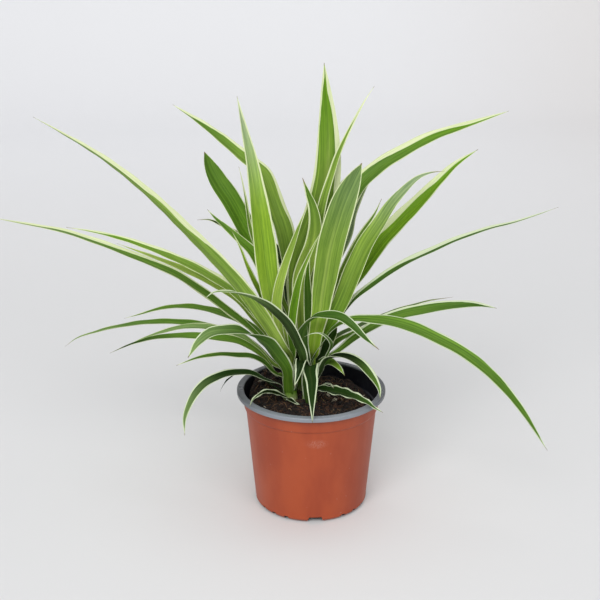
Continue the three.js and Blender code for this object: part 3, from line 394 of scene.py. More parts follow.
# Places across a half blade, from its keel to its margin.
ACROSS = (0.0, 0.06, 0.16, 0.3, 0.45, 0.6, 0.74, 0.86, 0.95, 1.0)
TIP_WIDTH = 0.35
BLADE_THICK = 0.5
MARGIN_THINNING = 0.92
TIP_THINS = (1.04, 0.8)
KEEL_ROUND = 0.07

# Lengths of the margins' waves. A leaf whose wave is above LIVELY has the short ones.
LIVELY = 0.4
SHORT_WAVES = (9, 15)
LONG_WAVES = (20, 34)
WAVES_START = (0.1, 0.3)
WAVES_END = (1.0, 0.85)

# The cream margins: how their width sways, where they start, thin out and change to `outer`.
MARGIN_SWAY = 0.22
SWAY_LENGTHS = (7, 16)
OUTER_FROM = (0.3, 0.6)
CREAM_START = (0.02, 0.2)
CREAM_END = (0.8, 1)
CREAM_END_SHARE = 0.72
MOST_CREAM = 0.8

# The greens: where one turns into the next, the pale rib along the keel and the shade at the base.
ROOT_TO_MIDDLE = (0.1, 0.42)
MIDDLE_TO_TIP = (0.55, 0.95)
RIB_WIDTH = 0.16
RIB_END = (0.9, 0.5)
UNDERSIDE_SHARE = 0.12
BASE_SHADE = 0.62
BASE_SHADE_REACH = (4, 34)
DRY_FADE = 1.2
PATTERN_SHIFT = 500


def linear(colour):
    """An 8-bit colour as linear light."""
    shares = np.asarray(colour, float) / 255
    return np.where(shares <= 0.04045, shares / 12.92, ((shares + 0.055) / 1.055) ** 2.4)


def smooth(low, high, value):
    """0 at low and 1 at high, in an S curve. low may be the larger one."""
    share = np.clip((np.asarray(value, float) - low) / (high - low), 0, 1)
    return share * share * (3 - 2 * share)


def mix(a, b, share):
    return a + (b - a) * share


def unit(vectors):
    return vectors / np.maximum(np.linalg.norm(vectors, axis=-1, keepdims=True), 1e-9)


def compass(degrees):
    turn = math.radians(degrees)
    return np.array((math.cos(turn), math.sin(turn), 0.0))


def seen_point(point):
    """The point that shows at (right, up) from the front and lies `behind` the pot's axis."""
    right, up, behind = point
    pitch = math.radians(VIEW_PITCH)
    plane = np.array((right, up * math.sin(pitch), POT_HEIGHT + up * math.cos(pitch)))
    return EYE + (plane - EYE) * (behind - EYE[1]) / (plane[1] - EYE[1])


def catmull_rom(points):
    """Dense points on the centripetal curve through the given ones."""
    points = np.asarray(points, float)
    line = np.vstack((2 * points[0] - points[1], points, 2 * points[-1] - points[-2]))
    found = []
    for p0, p1, p2, p3 in zip(line, line[1:], line[2:], line[3:]):
        g0, g1, g2 = [max(np.linalg.norm(b - a), 1e-4) ** 0.5 for a, b in ((p0, p1), (p1, p2), (p2, p3))]
        start = ((p1 - p0) / g0 - (p2 - p0) / (g0 + g1) + (p2 - p1) / g1) * g1
        end = ((p2 - p1) / g1 - (p3 - p1) / (g1 + g2) + (p3 - p2) / g2) * g1
        for t in np.arange(ROUTE_SAMPLES) / ROUTE_SAMPLES:
            bend = (-3 * p1 + 3 * p2 - 2 * start - end) * t * t
            found.append(p1 + start * t + bend + (2 * p1 - 2 * p2 + start + end) * t ** 3)
    found.append(points[-1])
    return np.array(found)


def even_stations(line):
    """Evenly spaced points on a line, their tangents, and its length."""
    steps = np.linalg.norm(np.diff(line, axis=0), axis=1)
    reach = np.concatenate(((0.0,), np.cumsum(steps)))
    count = max(FEWEST_STATIONS, int(reach[-1] / STATION_STEP))
    wanted = np.linspace(0, reach[-1], count + 1)
    points = np.column_stack([np.interp(wanted, reach, line[:, k]) for k in range(3)])
    return points, unit(np.gradient(points, axis=0)), reach[-1]


def nudged(points, nudge):
    """Drawn points moved right and up by nudge: fully in the middle, less at the root and the tip."""
    places = np.linspace(NUDGE_START, NUDGE_END, len(points))
    return [(x + nudge[0] * s, y + nudge[1] * s, depth)
            for (x, y, depth), s in zip(points, np.sin(places * math.pi))]


def crown_radius(height):
    return float(np.interp(height, [h for _, h in CROWN_SHAPE], [r for r, _ in CROWN_SHAPE]))


def leaf_route(leaf):
    """The points that a leaf runs through, from where it leaves or sinks into its crown."""
    _, around, rise = leaf.seat
    out = compass(around)
    reach = 0.0 if leaf.heart else crown_radius(rise) + GAP
    root = np.array(CROWNS[leaf.crown]) + out * reach + np.array((0, 0, rise))
    lift = root + out * LIFT_OUT + np.array((0, 0, LIFT))
    sunk = [] if leaf.heart else [root - out * SUNK_IN - np.array((0, 0, SUNK_DOWN))]
    drawn = nudged(leaf.route, leaf.nudge)
    return sunk + [root, lift] + [np.array(p, float) if leaf.at else seen_point(p) for p in drawn]


def faced_side(points, tangents, table, along):
    """The way the width runs, where the table gives how far the blade is turned from the eye."""
    turn = np.radians(np.interp(along, *zip(*table)))[:, None]
    view = unit(points - EYE)
    across = unit(np.cross(view, tangents))
    away = unit(view - tangents * (view * tangents).sum(1, keepdims=True))
    return across * np.cos(turn) + away * np.sin(turn)


def three_colours(names, along):
    """Colour along a blade, from its root, middle and tip colours."""
    root, middle, tip = (linear(GREENS[name]) for name in names)
    start = mix(root, middle, smooth(*ROOT_TO_MIDDLE, along)[:, None])
    return mix(start, tip, smooth(*MIDDLE_TO_TIP, along)[:, None])


def ring_faces(rings, sides, first=0):
    """The quads between rings of points that follow one another from number `first`."""
    faces = []
    for ring in range(rings - 1):
        for k in range(sides):
            a = first + ring * sides + k
            b = first + ring * sides + (k + 1) % sides
            faces.append((a, b, b + sides, a + sides))
    return faces


def tube_faces(rings, sides):
    """The two ends of a tube of rings, and the quads between them."""
    start = tuple(range(sides))[::-1]
    end = tuple((rings - 1) * sides + k for k in range(sides))
    return [start, end] + ring_faces(rings, sides)


def new_mesh(name, verts, faces):
    mesh = bpy.data.meshes.new(name)
    mesh.from_pydata(verts, [], faces)
    return mesh


def new_object(name, data):
    made = bpy.data.objects.new(name, data)
    bpy.context.scene.collection.objects.link(made)
    return made


def write_values(mesh, name, kind, field, values):
    layer = mesh.attributes.new(name, kind, "POINT")
    layer.data.foreach_set(field, np.ascontiguousarray(values, np.float32).ravel())


def write_colours(mesh, name, colours):
    flat = colours.reshape(-1, 3)
    full = np.column_stack((flat, np.ones(len(flat))))
    write_values(mesh, name, "FLOAT_COLOR", "color", full)


def add_piece(name, mesh, materials, replaced):
    """Puts a finished mesh in the scene as a piece of the plant."""
    for material in materials:
        mesh.materials.append(material)
    mesh.shade_smooth()
    piece = new_object(name, mesh)
    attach(piece, "root")
    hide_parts(replaced)


class Blade:
    """A thin closed blade along a route, with a keel, wavy margins and the values that colour it."""

    def __init__(self, leaf, route, root_side, blade_side):
        self.leaf = leaf
        self.draw = random.Random(leaf.name)
        self.points, self.tangents, self.length = even_stations(catmull_rom(route))
        self.along = np.linspace(0, 1, len(self.points))
        self.reach = self.along * self.length
        self.half = np.maximum(TIP_WIDTH, leaf.width * self.width_share()) / 2
        self.side = self.turned_side(root_side, blade_side)
        self.across = np.concatenate((-np.array(ACROSS[:0:-1]), ACROSS))
        self.columns = np.concatenate((self.across, self.across[::-1]))

    def width_share(self):
        widest = self.leaf.widest
        root = mix(self.leaf.root, 1, smooth(0, widest, self.along))
        return root * (1 - np.maximum(0, (self.along - widest) / (1 - widest)) ** self.leaf.taper)

    def turned_side(self, root_side, blade_side):
        """The way the width runs at each station: as root_side says first, then as blade_side."""
        turned = smooth(0, TURN_LENGTH, self.along)
        if self.leaf.face:
            blade_side = faced_side(self.points, self.tangents, self.leaf.face, self.along)
            turned = smooth(0, FACE_TURN_LENGTH, self.along)
        side = mix(root_side, blade_side, turned[:, None])
        return unit(side - self.tangents * (side * self.tangents).sum(1, keepdims=True))

    def ripples(self):
        """How far the two margins wave up and down along the blade."""
        wave = self.leaf.wave
        quiet = smooth(*WAVES_START, self.along) * smooth(*WAVES_END, self.along)
        found = []
        for _ in range(2):
            spacing = self.draw.uniform(*(SHORT_WAVES if wave > LIVELY else LONG_WAVES))
            start = self.draw.uniform(0, math.tau)
            found.append(np.sin(self.reach / spacing * math.tau + start) * quiet * wave)
        return found

    def rings(self):
        """The points round each station: over the upper face, and back under it."""
        across = self.across
        half = self.half[:, None]
        free = smooth(0, TURN_LENGTH, self.along)
        fold = np.radians(mix(FOLD_ROOT, FOLD_BLADE, free))
        keel = np.sqrt(across ** 2 + KEEL_ROUND ** 2)
        left, right = self.ripples()
        ripple = np.where(across < 0, left[:, None], right[:, None]) * np.abs(across) ** 3
        sideways = across * (self.half * np.cos(fold))[:, None]
        lifted = (keel - (free / 2)[:, None]) * (self.half * np.sin(fold))[:, None] + ripple
        thick = BLADE_THICK * np.sqrt(1 - MARGIN_THINNING * across ** 6)
        thick = np.minimum(thick * smooth(*TIP_THINS, self.along)[:, None], half)
        normal = unit(np.cross(self.side, self.tangents))
        middle = self.points[:, None] + self.side[:, None] * sideways[:, :, None]
        upper = middle + normal[:, None] * (lifted + thick / 2)[:, :, None]
        under = middle + normal[:, None] * (lifted - thick / 2)[:, :, None]
        return np.concatenate((upper, under[:, ::-1]), axis=1)

    def cream_width(self):
        """Width of the cream margin at each point, in mm."""
        leaf = self.leaf
        reached = smooth(*CREAM_START, self.along) * mix(1, CREAM_END_SHARE, smooth(*CREAM_END, self.along))
        outwards = smooth(*OUTER_FROM, self.along)
        margins = []
        for inner, outer in zip(leaf.margins, leaf.outer or leaf.margins):
            turns = self.reach / self.draw.uniform(*SWAY_LENGTHS) + self.draw.uniform(0, math.tau)
            margins.append(mix(inner, outer, outwards) * (1 + MARGIN_SWAY * np.sin(turns)))
        cream = np.where(self.columns < 0, margins[0][:, None], margins[1][:, None])
        return np.minimum(cream * reached[:, None], self.half[:, None] * MOST_CREAM)

    def greens(self):
        """Colour of each point, without its margin and dry tip."""
        colour = three_colours(self.leaf.tint, self.along)[:, None] * np.ones((1, len(self.columns), 1))
        rib = self.leaf.rib * np.exp(-(self.columns / RIB_WIDTH) ** 2)
        rib = rib * smooth(*RIB_END, self.along)[:, None]
        colour = mix(colour, linear(YELLOW_CREAM), rib[:, :, None])
        below = np.repeat((0.0, 1.0), len(self.across))
        colour = mix(colour, linear(UNDERSIDE), (UNDERSIDE_SHARE * below)[None, :, None])
        return colour * mix(BASE_SHADE, 1, smooth(*BASE_SHADE_REACH, self.reach))[:, None, None]

    def mesh(self):
        leaf = self.leaf
        points = self.rings()
        rings, sides = points.shape[:2]
        every = np.ones(sides)
        mesh = new_mesh(f"blade_{leaf.name}", (points.reshape(-1, 3) * MM).tolist(), tube_faces(rings, sides))
        edge = (1 - np.abs(self.columns)) * self.half[:, None]
        green_edge = edge - self.cream_width()
        shift = np.full((rings, sides), self.draw.uniform(0, PATTERN_SHIFT))
        place = (self.columns * self.half[:, None], self.reach[:, None] * every, shift)
        dry = smooth(leaf.dry * DRY_FADE, 0, self.length - self.reach)
        write_values(mesh, "leaf_place", "FLOAT_VECTOR", "vector", np.stack(place, axis=-1))
        write_values(mesh, "leaf_margin", "FLOAT", "value", green_edge)
        write_values(mesh, "leaf_dry", "FLOAT", "value", dry[:, None] * every)
        write_colours(mesh, "leaf_tint", self.greens())
        write_colours(mesh, "leaf_cream", np.ones((rings, sides, 1)) * linear(leaf.cream))
        return mesh


# ---------------------------------------------------------------- node helpers


class Shader:
    """A material with one Principled shader and short calls for its nodes."""

    def __init__(self, name, roughness, gloss=0.5):
        self.material = bpy.data.materials.new(name)
        self.material.use_nodes = True
        self.tree = self.material.node_tree
        self.surface = self.tree.nodes["Principled BSDF"]
        self.surface.inputs["Roughness"].default_value = roughness
        self.surface.inputs["Specular IOR Level"].default_value = gloss

    def node(self, kind, **settings):
        made = self.tree.nodes.new(kind)
        for key, value in settings.items():
            setattr(made, key, value)
        return made

    def feed(self, socket, value):
        if isinstance(value, bpy.types.NodeSocket):
            self.tree.links.new(value, socket)
        else:
            socket.default_value = value

    def finish(self, colour):
        """Gives the surface its colour, and returns the material."""
        self.feed(self.surface.inputs["Base Color"], colour)
        return self.material

    def attribute(self, name, output):
        return self.node("ShaderNodeAttribute", attribute_name=name).outputs[output]

    def place(self):
        return self.node("ShaderNodeTexCoord").outputs["Object"]

    def axis(self, vector, letter):
        made = self.node("ShaderNodeSeparateXYZ")
        self.feed(made.inputs[0], vector)
        return made.outputs[letter]

    def vector_math(self, operation, a, b=(0.0, 0.0, 0.0)):
        made = self.node("ShaderNodeVectorMath", operation=operation)
        self.feed(made.inputs[0], a)
        made.inputs[1].default_value = b
        return made.outputs

    def scaled(self, vector, scale):
        return self.vector_math("MULTIPLY", vector, scale)["Vector"]

    def noise(self, vector, scale, detail=2.0, rough=0.5):
        made = self.node("ShaderNodeTexNoise")
        self.feed(made.inputs["Vector"], vector)
        made.inputs["Scale"].default_value = scale
        made.inputs["Detail"].default_value = detail
        made.inputs["Roughness"].default_value = rough
        return made.outputs["Fac"]

    def math(self, operation, a, b=0.0, c=0.0):
        made = self.node("ShaderNodeMath", operation=operation)
        for socket, value in zip(made.inputs, (a, b, c)):
            self.feed(socket, value)
        return made.outputs[0]

    def spread(self, value, low, high, to_low=0.0, to_high=1.0):
        """value from low..high to to_low..to_high, smooth and held at the ends."""
        made = self.node("ShaderNodeMapRange", interpolation_type="SMOOTHSTEP")
        self.feed(made.inputs["Value"], value)
        for key, number in (("From Min", low), ("From Max", high), ("To Min", to_low), ("To Max", to_high)):
            made.inputs[key].default_value = number
        return made.outputs["Result"]

    def blend(self, share, a, b, kind="MIX"):
        made = self.node("ShaderNodeMix", data_type="RGBA", blend_type=kind)
        self.feed(made.inputs["Factor"], share)
        self.feed(made.inputs[6], a)
        self.feed(made.inputs[7], b)
        return made.outputs[2]

    def times(self, colour, shares):
        return self.blend(1.0, colour, (*shares, 1.0), "MULTIPLY")

    def bump(self, height, distance, strength=1.0):
        made = self.node("ShaderNodeBump")
        self.feed(made.inputs["Height"], height)
        made.inputs["Distance"].default_value = distance
        made.inputs["Strength"].default_value = strength
        self.feed(self.surface.inputs["Normal"], made.outputs["Normal"])


def shade(colour):
    """An 8-bit colour as a socket takes it."""
    return (*linear(colour), 1.0)


# ---------------------------------------------------------------- materials

LEAF_GLOSS = 0.07
LEAF_ROUGHNESS = 0.42
LEAF_ROUGHNESS_RANGE = (0.36, 0.5)

# Noise cells to a mm, across a blade and along it.
VEIN_CELLS = (1.05, 0.011, 1.0)
BAND_CELLS = (0.36, 0.006, 1.0)
MOTTLE_CELLS = (0.5, 0.08, 1.0)
SHEATH_CELLS = (0.9, 0.02, 1.0)
LIGHT_STRIPE = (1.42, 1.34, 1.2)
DARK_STRIPE = (0.58, 0.66, 0.56)
SHEATH_STRIPE = (0.7, 0.74, 0.7)
FRAY = 1.1
MARGIN_EDGE = (-0.12, 0.16)

# Each plastic: its colour, its worn colour and its roughness.
TERRACOTTA = ((166, 70, 30), (152, 60, 26), 0.46)
RIM_GREY = ((68, 73, 77), (62, 67, 72), 0.3)
INSIDE_BLACK = ((20, 21, 26), (30, 31, 38), 0.32)
FLOW_STRETCH = (1.0, 1.0, 0.35)
DUST = (0.55, 0.5, 0.46, 1.0)

# A painted highlight makes the rim paler at the front: its colour, and from where to where in metres along Y.
RIM_PAINTED_HIGHLIGHT = (138, 144, 152)
RIM_HIGHLIGHT_FROM = (-0.056, -0.012)
RIM_HIGHLIGHT_SHARE = 0.9

# The scuff: its middle in mm, how much it is flattened, where it fades in metres, and its tone.
SCUFF_MIDDLE = (4.0, -51.5, 73.0)
SCUFF_FLAT = 2.2
SCUFF_FADE = (0.002, 0.011)
SCUFF_SHARE = 0.3
SCUFF_TONE = (0.62, 0.42, 0.36, 1.0)

SOIL_DARK = (13, 9, 8)
SOIL_BROWN = (46, 28, 21)
SOIL_FLECK = (104, 78, 56)
BIT_SHADOW = (0.5, 0.48, 0.46)

# Tones of the studio paper, and where they change, in metres: painted shade greyer near the front, painted
# light paler far off, painted shade on the far right, and a painted pool of light round the pot.
NEAR_PAPER_SHADED = ((0.695, 0.698, 0.702, 1), (0.71, 0.71, 0.715, 1))
FAR_PAPER_LIT = ((0.835, 0.84, 0.86, 1), (0.85, 0.855, 0.87, 1))
RIGHT_PAPER_SHADED = (0.79, 0.775, 0.77, 1)
POT_PAPER_LIT = (0.735, 0.735, 0.735, 1)
SHADE_TO_LIGHT = (0.25, 1.6)
RIGHT_SHADE_FROM = (0.1, 0.9)
POT_LIGHT_REACH = (0.05, 0.3)


def leaf_material():
    """Green tissue with lengthwise veins, cream margins that fray into it, and dry tips."""
    s = Shader("leaf_tissue", LEAF_ROUGHNESS, LEAF_GLOSS)
    place = s.attribute("leaf_place", "Vector")
    veins = s.noise(s.scaled(place, VEIN_CELLS), 1.0, detail=4.0, rough=0.65)
    bands = s.noise(s.scaled(place, BAND_CELLS), 1.0, detail=1.0)
    mottle = s.noise(s.scaled(place, MOTTLE_CELLS), 1.0)
    green = s.attribute("leaf_tint", "Color")
    lighter = s.times(green, LIGHT_STRIPE)
    darker = s.times(green, DARK_STRIPE)
    striped = s.blend(s.spread(veins, 0.3, 0.7), darker, lighter)
    banded = s.blend(s.spread(bands, 0.35, 0.65, 0.0, 0.5), striped, darker)
    tissue = s.blend(s.spread(mottle, 0.4, 0.8, 0.0, 0.3), banded, lighter)
    fray = s.math("MULTIPLY_ADD", s.math("SUBTRACT", veins, 0.5), FRAY, s.attribute("leaf_margin", "Fac"))
    cream = s.blend(s.spread(veins, 0.3, 0.75, 0.0, 0.25), s.attribute("leaf_cream", "Color"), tissue)
    edged = s.blend(s.spread(fray, *MARGIN_EDGE, 1.0, 0.0), tissue, cream)
    s.feed(s.surface.inputs["Roughness"], s.spread(mottle, 0.3, 0.7, *LEAF_ROUGHNESS_RANGE))
    s.bump(veins, 0.0002, 0.6)
    return s.finish(s.blend(s.attribute("leaf_dry", "Fac"), edged, shade(DRY)))


def sheath_material():
    """Leaf bases wrapped round a short stem: whitish at the foot, green above, darkened higher up by painted
    shade among the leaves.
    """
    s = Shader("crown_sheath", 0.5, LEAF_GLOSS)
    place = s.attribute("leaf_place", "Vector")
    veins = s.noise(s.scaled(place, SHEATH_CELLS), 1.0, detail=3.0, rough=0.6)
    green = s.attribute("leaf_tint", "Color")
    s.bump(veins, 0.0003, 0.8)
    return s.finish(s.blend(s.spread(veins, 0.35, 0.7), green, s.times(green, SHEATH_STRIPE)))


def scuff_marks(s, place):
    """Share of the scuff: fine flecks that thin out away from its middle."""
    x, y, z = SCUFF_MIDDLE
    flat = s.scaled(place, (1.0, 1.0, SCUFF_FLAT))
    away = s.vector_math("DISTANCE", flat, (x * MM, y * MM, z * SCUFF_FLAT * MM))["Value"]
    near = s.spread(away, *SCUFF_FADE, 1.0, 0.0)
    flecks = s.noise(place, 1100.0, detail=2.0, rough=0.6)
    return s.math("MULTIPLY", near, s.spread(flecks, 0.38, 0.72, 0.0, SCUFF_SHARE))


def plastic_material(name, look, front_highlight=False, scuffed=False):
    """Moulded plastic with faint flow marks and dust, paler where it is scuffed, and for the rim paler at the
    front with a painted highlight.
    """
    colour, worn, roughness = look
    s = Shader(name, roughness)
    place = s.place()
    cloud = s.noise(s.scaled(place, FLOW_STRETCH), 38.0, detail=3.0, rough=0.6)
    specks = s.noise(place, 420.0, detail=1.0)
    tone = s.blend(s.spread(cloud, 0.35, 0.7), shade(colour), shade(worn))
    tone = s.blend(s.spread(specks, 0.76, 0.82, 0.0, 0.2), tone, DUST)
    # Painted highlight: the front of the rim is made paler, where the light falls on it.
    if front_highlight:
        front = s.spread(s.axis(place, "Y"), *RIM_HIGHLIGHT_FROM, RIM_HIGHLIGHT_SHARE, 0.0)
        tone = s.blend(front, tone, shade(RIM_PAINTED_HIGHLIGHT))
    if scuffed:
        tone = s.blend(scuff_marks(s, place), tone, SCUFF_TONE)
    s.feed(s.surface.inputs["Roughness"], s.spread(cloud, 0.3, 0.7, roughness - 0.05, roughness + 0.08))
    s.bump(s.noise(place, 900.0), 0.00006, 0.5)
    return s.finish(tone)


def soil_material():
    """Moist dark compost, mottled from near black to red brown."""
    s = Shader("compost", 0.92)
    place = s.place()
    coarse = s.noise(place, 260.0, detail=4.0, rough=0.65)
    fine = s.noise(place, 1400.0, detail=3.0, rough=0.6)
    tone = s.blend(s.spread(coarse, 0.35, 0.68), shade(SOIL_DARK), shade(SOIL_BROWN))
    s.bump(s.math("ADD", coarse, s.math("MULTIPLY", fine, 0.4)), 0.0008)
    return s.finish(s.blend(s.spread(fine, 0.62, 0.75, 0.0, 0.5), tone, shade(SOIL_FLECK)))


def bit_material():
    """Bits of bark, fibre and peat: the tone of each bit with a finer grain over it."""
    s = Shader("soil_bits", 0.88)
    grain = s.noise(s.place(), 1800.0, detail=3.0, rough=0.6)
    tint = s.attribute("bit_tint", "Color")
    s.bump(grain, 0.0003, 0.8)
    return s.finish(s.blend(s.spread(grain, 0.35, 0.65), s.times(tint, BIT_SHADOW), tint))


def floor_material():
    """Studio paper with painted light and shade: greyer near the front, paler far off, darker on the far
    right, and a painted pool of light round the pot.
    """
    s = Shader("studio_paper", 0.9)
    place = s.place()
    cloud = s.noise(place, 3.0)
    near = s.blend(cloud, *NEAR_PAPER_SHADED)
    # Painted shade: the far paper darker and warmer towards the right.
    far = s.blend(s.spread(s.axis(place, "X"), *RIGHT_SHADE_FROM), s.blend(cloud, *FAR_PAPER_LIT), RIGHT_PAPER_SHADED)
    reach = s.vector_math("LENGTH", place)["Value"]
    # A painted pool of light round the pot, paler than the paper near it.
    near = s.blend(s.spread(reach, *POT_LIGHT_REACH, 1.0, 0.0), near, POT_PAPER_LIT)
    # Painted light and shade: the paper greyer near the front and paler far off.
    return s.finish(s.blend(s.spread(s.axis(place, "Y"), *SHADE_TO_LIGHT), near, far))


# ---------------------------------------------------------------- leaves and crowns

SHEATH_RINGS = 40
SHEATH_SIDES = 72
SHEATH_RIDGES = 5
SHEATH_TOP = 30.0
SHEATH_TWIST = 0.03
SHEATH_GROOVE = 0.86
SHEATH_RIDGE = 0.16
SHEATH_ROUND = 0.6
SHEATH_PATTERN_LAYER = 7.0
SHEATH_GREENS = (-2, 8)
# Painted shade: heights in mm over which the stem darkens, where the leaves round it would shade it.
SHEATH_SHADE_REACH = (9, 26)


def make_leaves(material):
    for leaf in LEAVES:
        heading, around, _ = leaf.seat
        blade_side = compass(heading - 90)
        turn = math.radians(leaf.roll) * (-1 if blade_side[1] < 0 else 1)
        blade_side = blade_side * math.cos(turn) + np.array((0, 0, math.sin(turn)))
        blade = Blade(leaf, leaf_route(leaf), compass(around - 90), blade_side)
        node = f"crown_{leaf.crown}" if leaf.heart else f"leaf_{leaf.name}"
        add_piece(f"blade_{leaf.name}", blade.mesh(), [material], node)
    for leaf in SMALL_LEAVES:
        route = [np.array(CROWNS[leaf.crown]) + np.array(p, float) for p in leaf.route]
        run = route[-1] - route[0]
        side = compass(math.degrees(math.atan2(run[1], run[0])) - 90)
        blade = Blade(leaf, route, side, side)
        add_piece(f"blade_{leaf.name}", blade.mesh(), [material], f"crown_{leaf.crown}")


def sheath_mesh(crown):
    """The stem of a crown: overlapping leaf bases, fluted, narrowing upwards."""
    foot = np.array(CROWNS[crown])
    start = random.Random(crown).uniform(0, math.tau)
    turns = np.arange(SHEATH_SIDES) / SHEATH_SIDES * math.tau
    verts, places, tints = [], [], []
    for height in np.linspace(-CROWN_DEPTH, SHEATH_TOP, SHEATH_RINGS):
        base = crown_radius(height)
        twist = start + height * SHEATH_TWIST
        flute = np.abs(np.sin((turns + twist) * SHEATH_RIDGES / 2)) ** SHEATH_ROUND
        radius = base * (SHEATH_GROOVE + SHEATH_RIDGE * flute)
        level = np.full(SHEATH_SIDES, height)
        verts.append(np.column_stack((radius * np.cos(turns), radius * np.sin(turns), level)) + foot)
        places.append(np.column_stack((turns * base, level, np.full(SHEATH_SIDES, SHEATH_PATTERN_LAYER))))
        low = mix(linear(SHEATH_FOOT), linear(GREENS["grass"]), smooth(*SHEATH_GREENS, height))
        # Painted shade: the stem turns dark green higher up among the leaves.
        tint = mix(low, linear(GREENS["dark"]), smooth(*SHEATH_SHADE_REACH, height))
        tints.append(np.tile(tint, (SHEATH_SIDES, 1)))
    verts = (np.concatenate(verts) * MM).tolist()
    mesh = new_mesh(f"sheath_{crown}", verts, tube_faces(SHEATH_RINGS, SHEATH_SIDES))
    write_values(mesh, "leaf_place", "FLOAT_VECTOR", "vector", np.concatenate(places))
    write_colours(mesh, "leaf_tint", np.concatenate(tints))
    return mesh


def make_crowns(material):
    for crown in CROWNS:
        add_piece(f"sheath_{crown}", sheath_mesh(crown), [material], f"crown_{crown}")


# ---------------------------------------------------------------- pot

POT_SIDES = 256
WALL_POINTS = (26.0, 54.0)
FOOT_OUT = 0.1
FOOT_RISE = 0.6
RIM_TUCK = 0.9
RIM_EDGE_IN = 0.2
RIM_SLOPE = 0.1

# Radius of each rounded corner, by the number of its point in pot_profile.
CORNERS = {1: 3.4, 2: 3.0, 5: 1.0, 6: 0.9, 7: 0.4, 10: 0.8, 11: 1.0, 12: 1.0, 13: 0.9, 14: 1.0,
           17: 1.6, 18: 1.6}
CORNER_STEPS = 5
CORNER_SHARE = 0.45

# Where the rim's plastic ends inside: this far under its top, and this far out of its bore.
LIP_DROP = 1.3
LIP_OUT = 0.5
OUTSIDE, RIM, INSIDE = range(3)

# Extra rings of points just above the foot, and what counts as the wall behind a notch.
FOOT_RINGS = (5.0, 6.0, 8.0)
FOOT_SKIN = 1.0
LEVEL = 0.9

WIDE_NOTCH = {"width": 12.0, "height": 5.0, "depth": 11.0}
SMALL_NOTCH = {"width": 4.0, "height": 3.8, "depth": 9.0}
NOTCH_FOOT_SHARE = 1.12
NOTCH_TOP_SHARE = 0.86
NOTCH_BELOW = -2.0
DRAIN_SIDES = 32
DRAIN_BELOW = -3.0
DRAIN_ABOVE = 2.0


def wall_radius(height):
    return mix(BASE_RADIUS, WALL_TOP_RADIUS, height / BAND_BOTTOM)


def rounded(profile, radii):
    """A profile with each corner rounded by its radius. Points are (radius, height)."""
    found = []
    for k, point in enumerate(profile):
        radius = radii.get(k, 0)
        if not radius:
            found.append(tuple(point))
            continue
        before, here, after = (np.array(profile[i], float) for i in (k - 1, k, k + 1))
        way_in, way_out = unit(before - here), unit(after - here)
        most = CORNER_SHARE * min(np.linalg.norm(before - here), np.linalg.norm(after - here))
        reach = min(radius, most)
        for step in range(CORNER_STEPS + 1):
            t = step / CORNER_STEPS
            found.append(tuple(here + way_in * reach * (1 - t) ** 2 + way_out * reach * t ** 2))
    return found


def pot_profile():
    """The wall's section as (radius, height), from the foot's middle round the rim to the floor's."""
    band_foot = WALL_TOP_RADIUS + BAND_STEP
    band_foot_height = BAND_BOTTOM + BAND_STEP
    under_rim = POT_HEIGHT - RIM_DROP
    fillet = FLOOR + FLOOR_FILLET
    low, high = WALL_POINTS
    return [
        (0.0, 0.0),
        (BASE_RADIUS - BASE_ROUND, 0.0),
        (wall_radius(BASE_ROUND) + FOOT_OUT, BASE_ROUND * FOOT_RISE),
        (wall_radius(low), low),
        (wall_radius(high), high),
        (WALL_TOP_RADIUS, BAND_BOTTOM),
        (band_foot, band_foot_height),
        (RIM_BORE + WALL, under_rim + RIM_TUCK),
        (RIM_RADIUS - WALL, under_rim + RIM_TUCK),
        (RIM_RADIUS - WALL + RIM_EDGE_IN, under_rim),
        (RIM_RADIUS - RIM_SLOPE, under_rim),
        (RIM_RADIUS, POT_HEIGHT),
        (RIM_BORE, POT_HEIGHT),
        (band_foot - WALL, band_foot_height),
        (WALL_TOP_RADIUS - WALL, BAND_BOTTOM),
        (wall_radius(high) - WALL, high),
        (wall_radius(low) - WALL, low),
        (wall_radius(fillet) - WALL, fillet),
        (wall_radius(FLOOR) - WALL - FLOOR_FILLET, FLOOR),
        (0.0, FLOOR),
    ]


def pot_zones(line):
    """The profile's points in three runs: the outside, the rim and the inside."""
    zones = [[], [], []]
    zone = OUTSIDE
    rim_foot = POT_HEIGHT - RIM_DROP - TINY
    rim_edge = RIM_RADIUS - WALL + TINY
    for radius, height in line:
        if zone == OUTSIDE and height >= rim_foot and radius >= rim_edge:
            zone = RIM
        elif zone == RIM and height <= POT_HEIGHT - LIP_DROP and radius <= RIM_BORE + LIP_OUT:
            zone = INSIDE
        zones[zone].append((radius, height))
    return zones


def spun(line, sides):
    """A line of (radius, height) turned round the axis, and the numbers of each ring's points.

    A height of None is the rough top of the soil.
    """
    verts, rings = [], []
    for radius, height in line:
        count = sides if radius > TINY else 1
        rings.append(range(len(verts), len(verts) + count))
        for k in range(count):
            turn = k / sides * math.tau
            x, y = radius * math.cos(turn), radius * math.sin(turn)
            verts.append((x * MM, y * MM, (rough_height(x, y) if height is None else height) * MM))
    return verts, rings


def spun_faces(rings, sides):
    """The faces between rings of points, where a ring of one point is a middle."""
    faces = []
    for low, high in zip(rings, rings[1:]):
        for j in range(sides):
            i = (j + 1) % sides
            if len(low) == 1:
                faces.append((low[0], high[i], high[j]))
            elif len(high) == 1:
                faces.append((low[j], low[i], high[0]))
            else:
                faces.append((low[j], low[i], high[i], high[j]))
    return faces


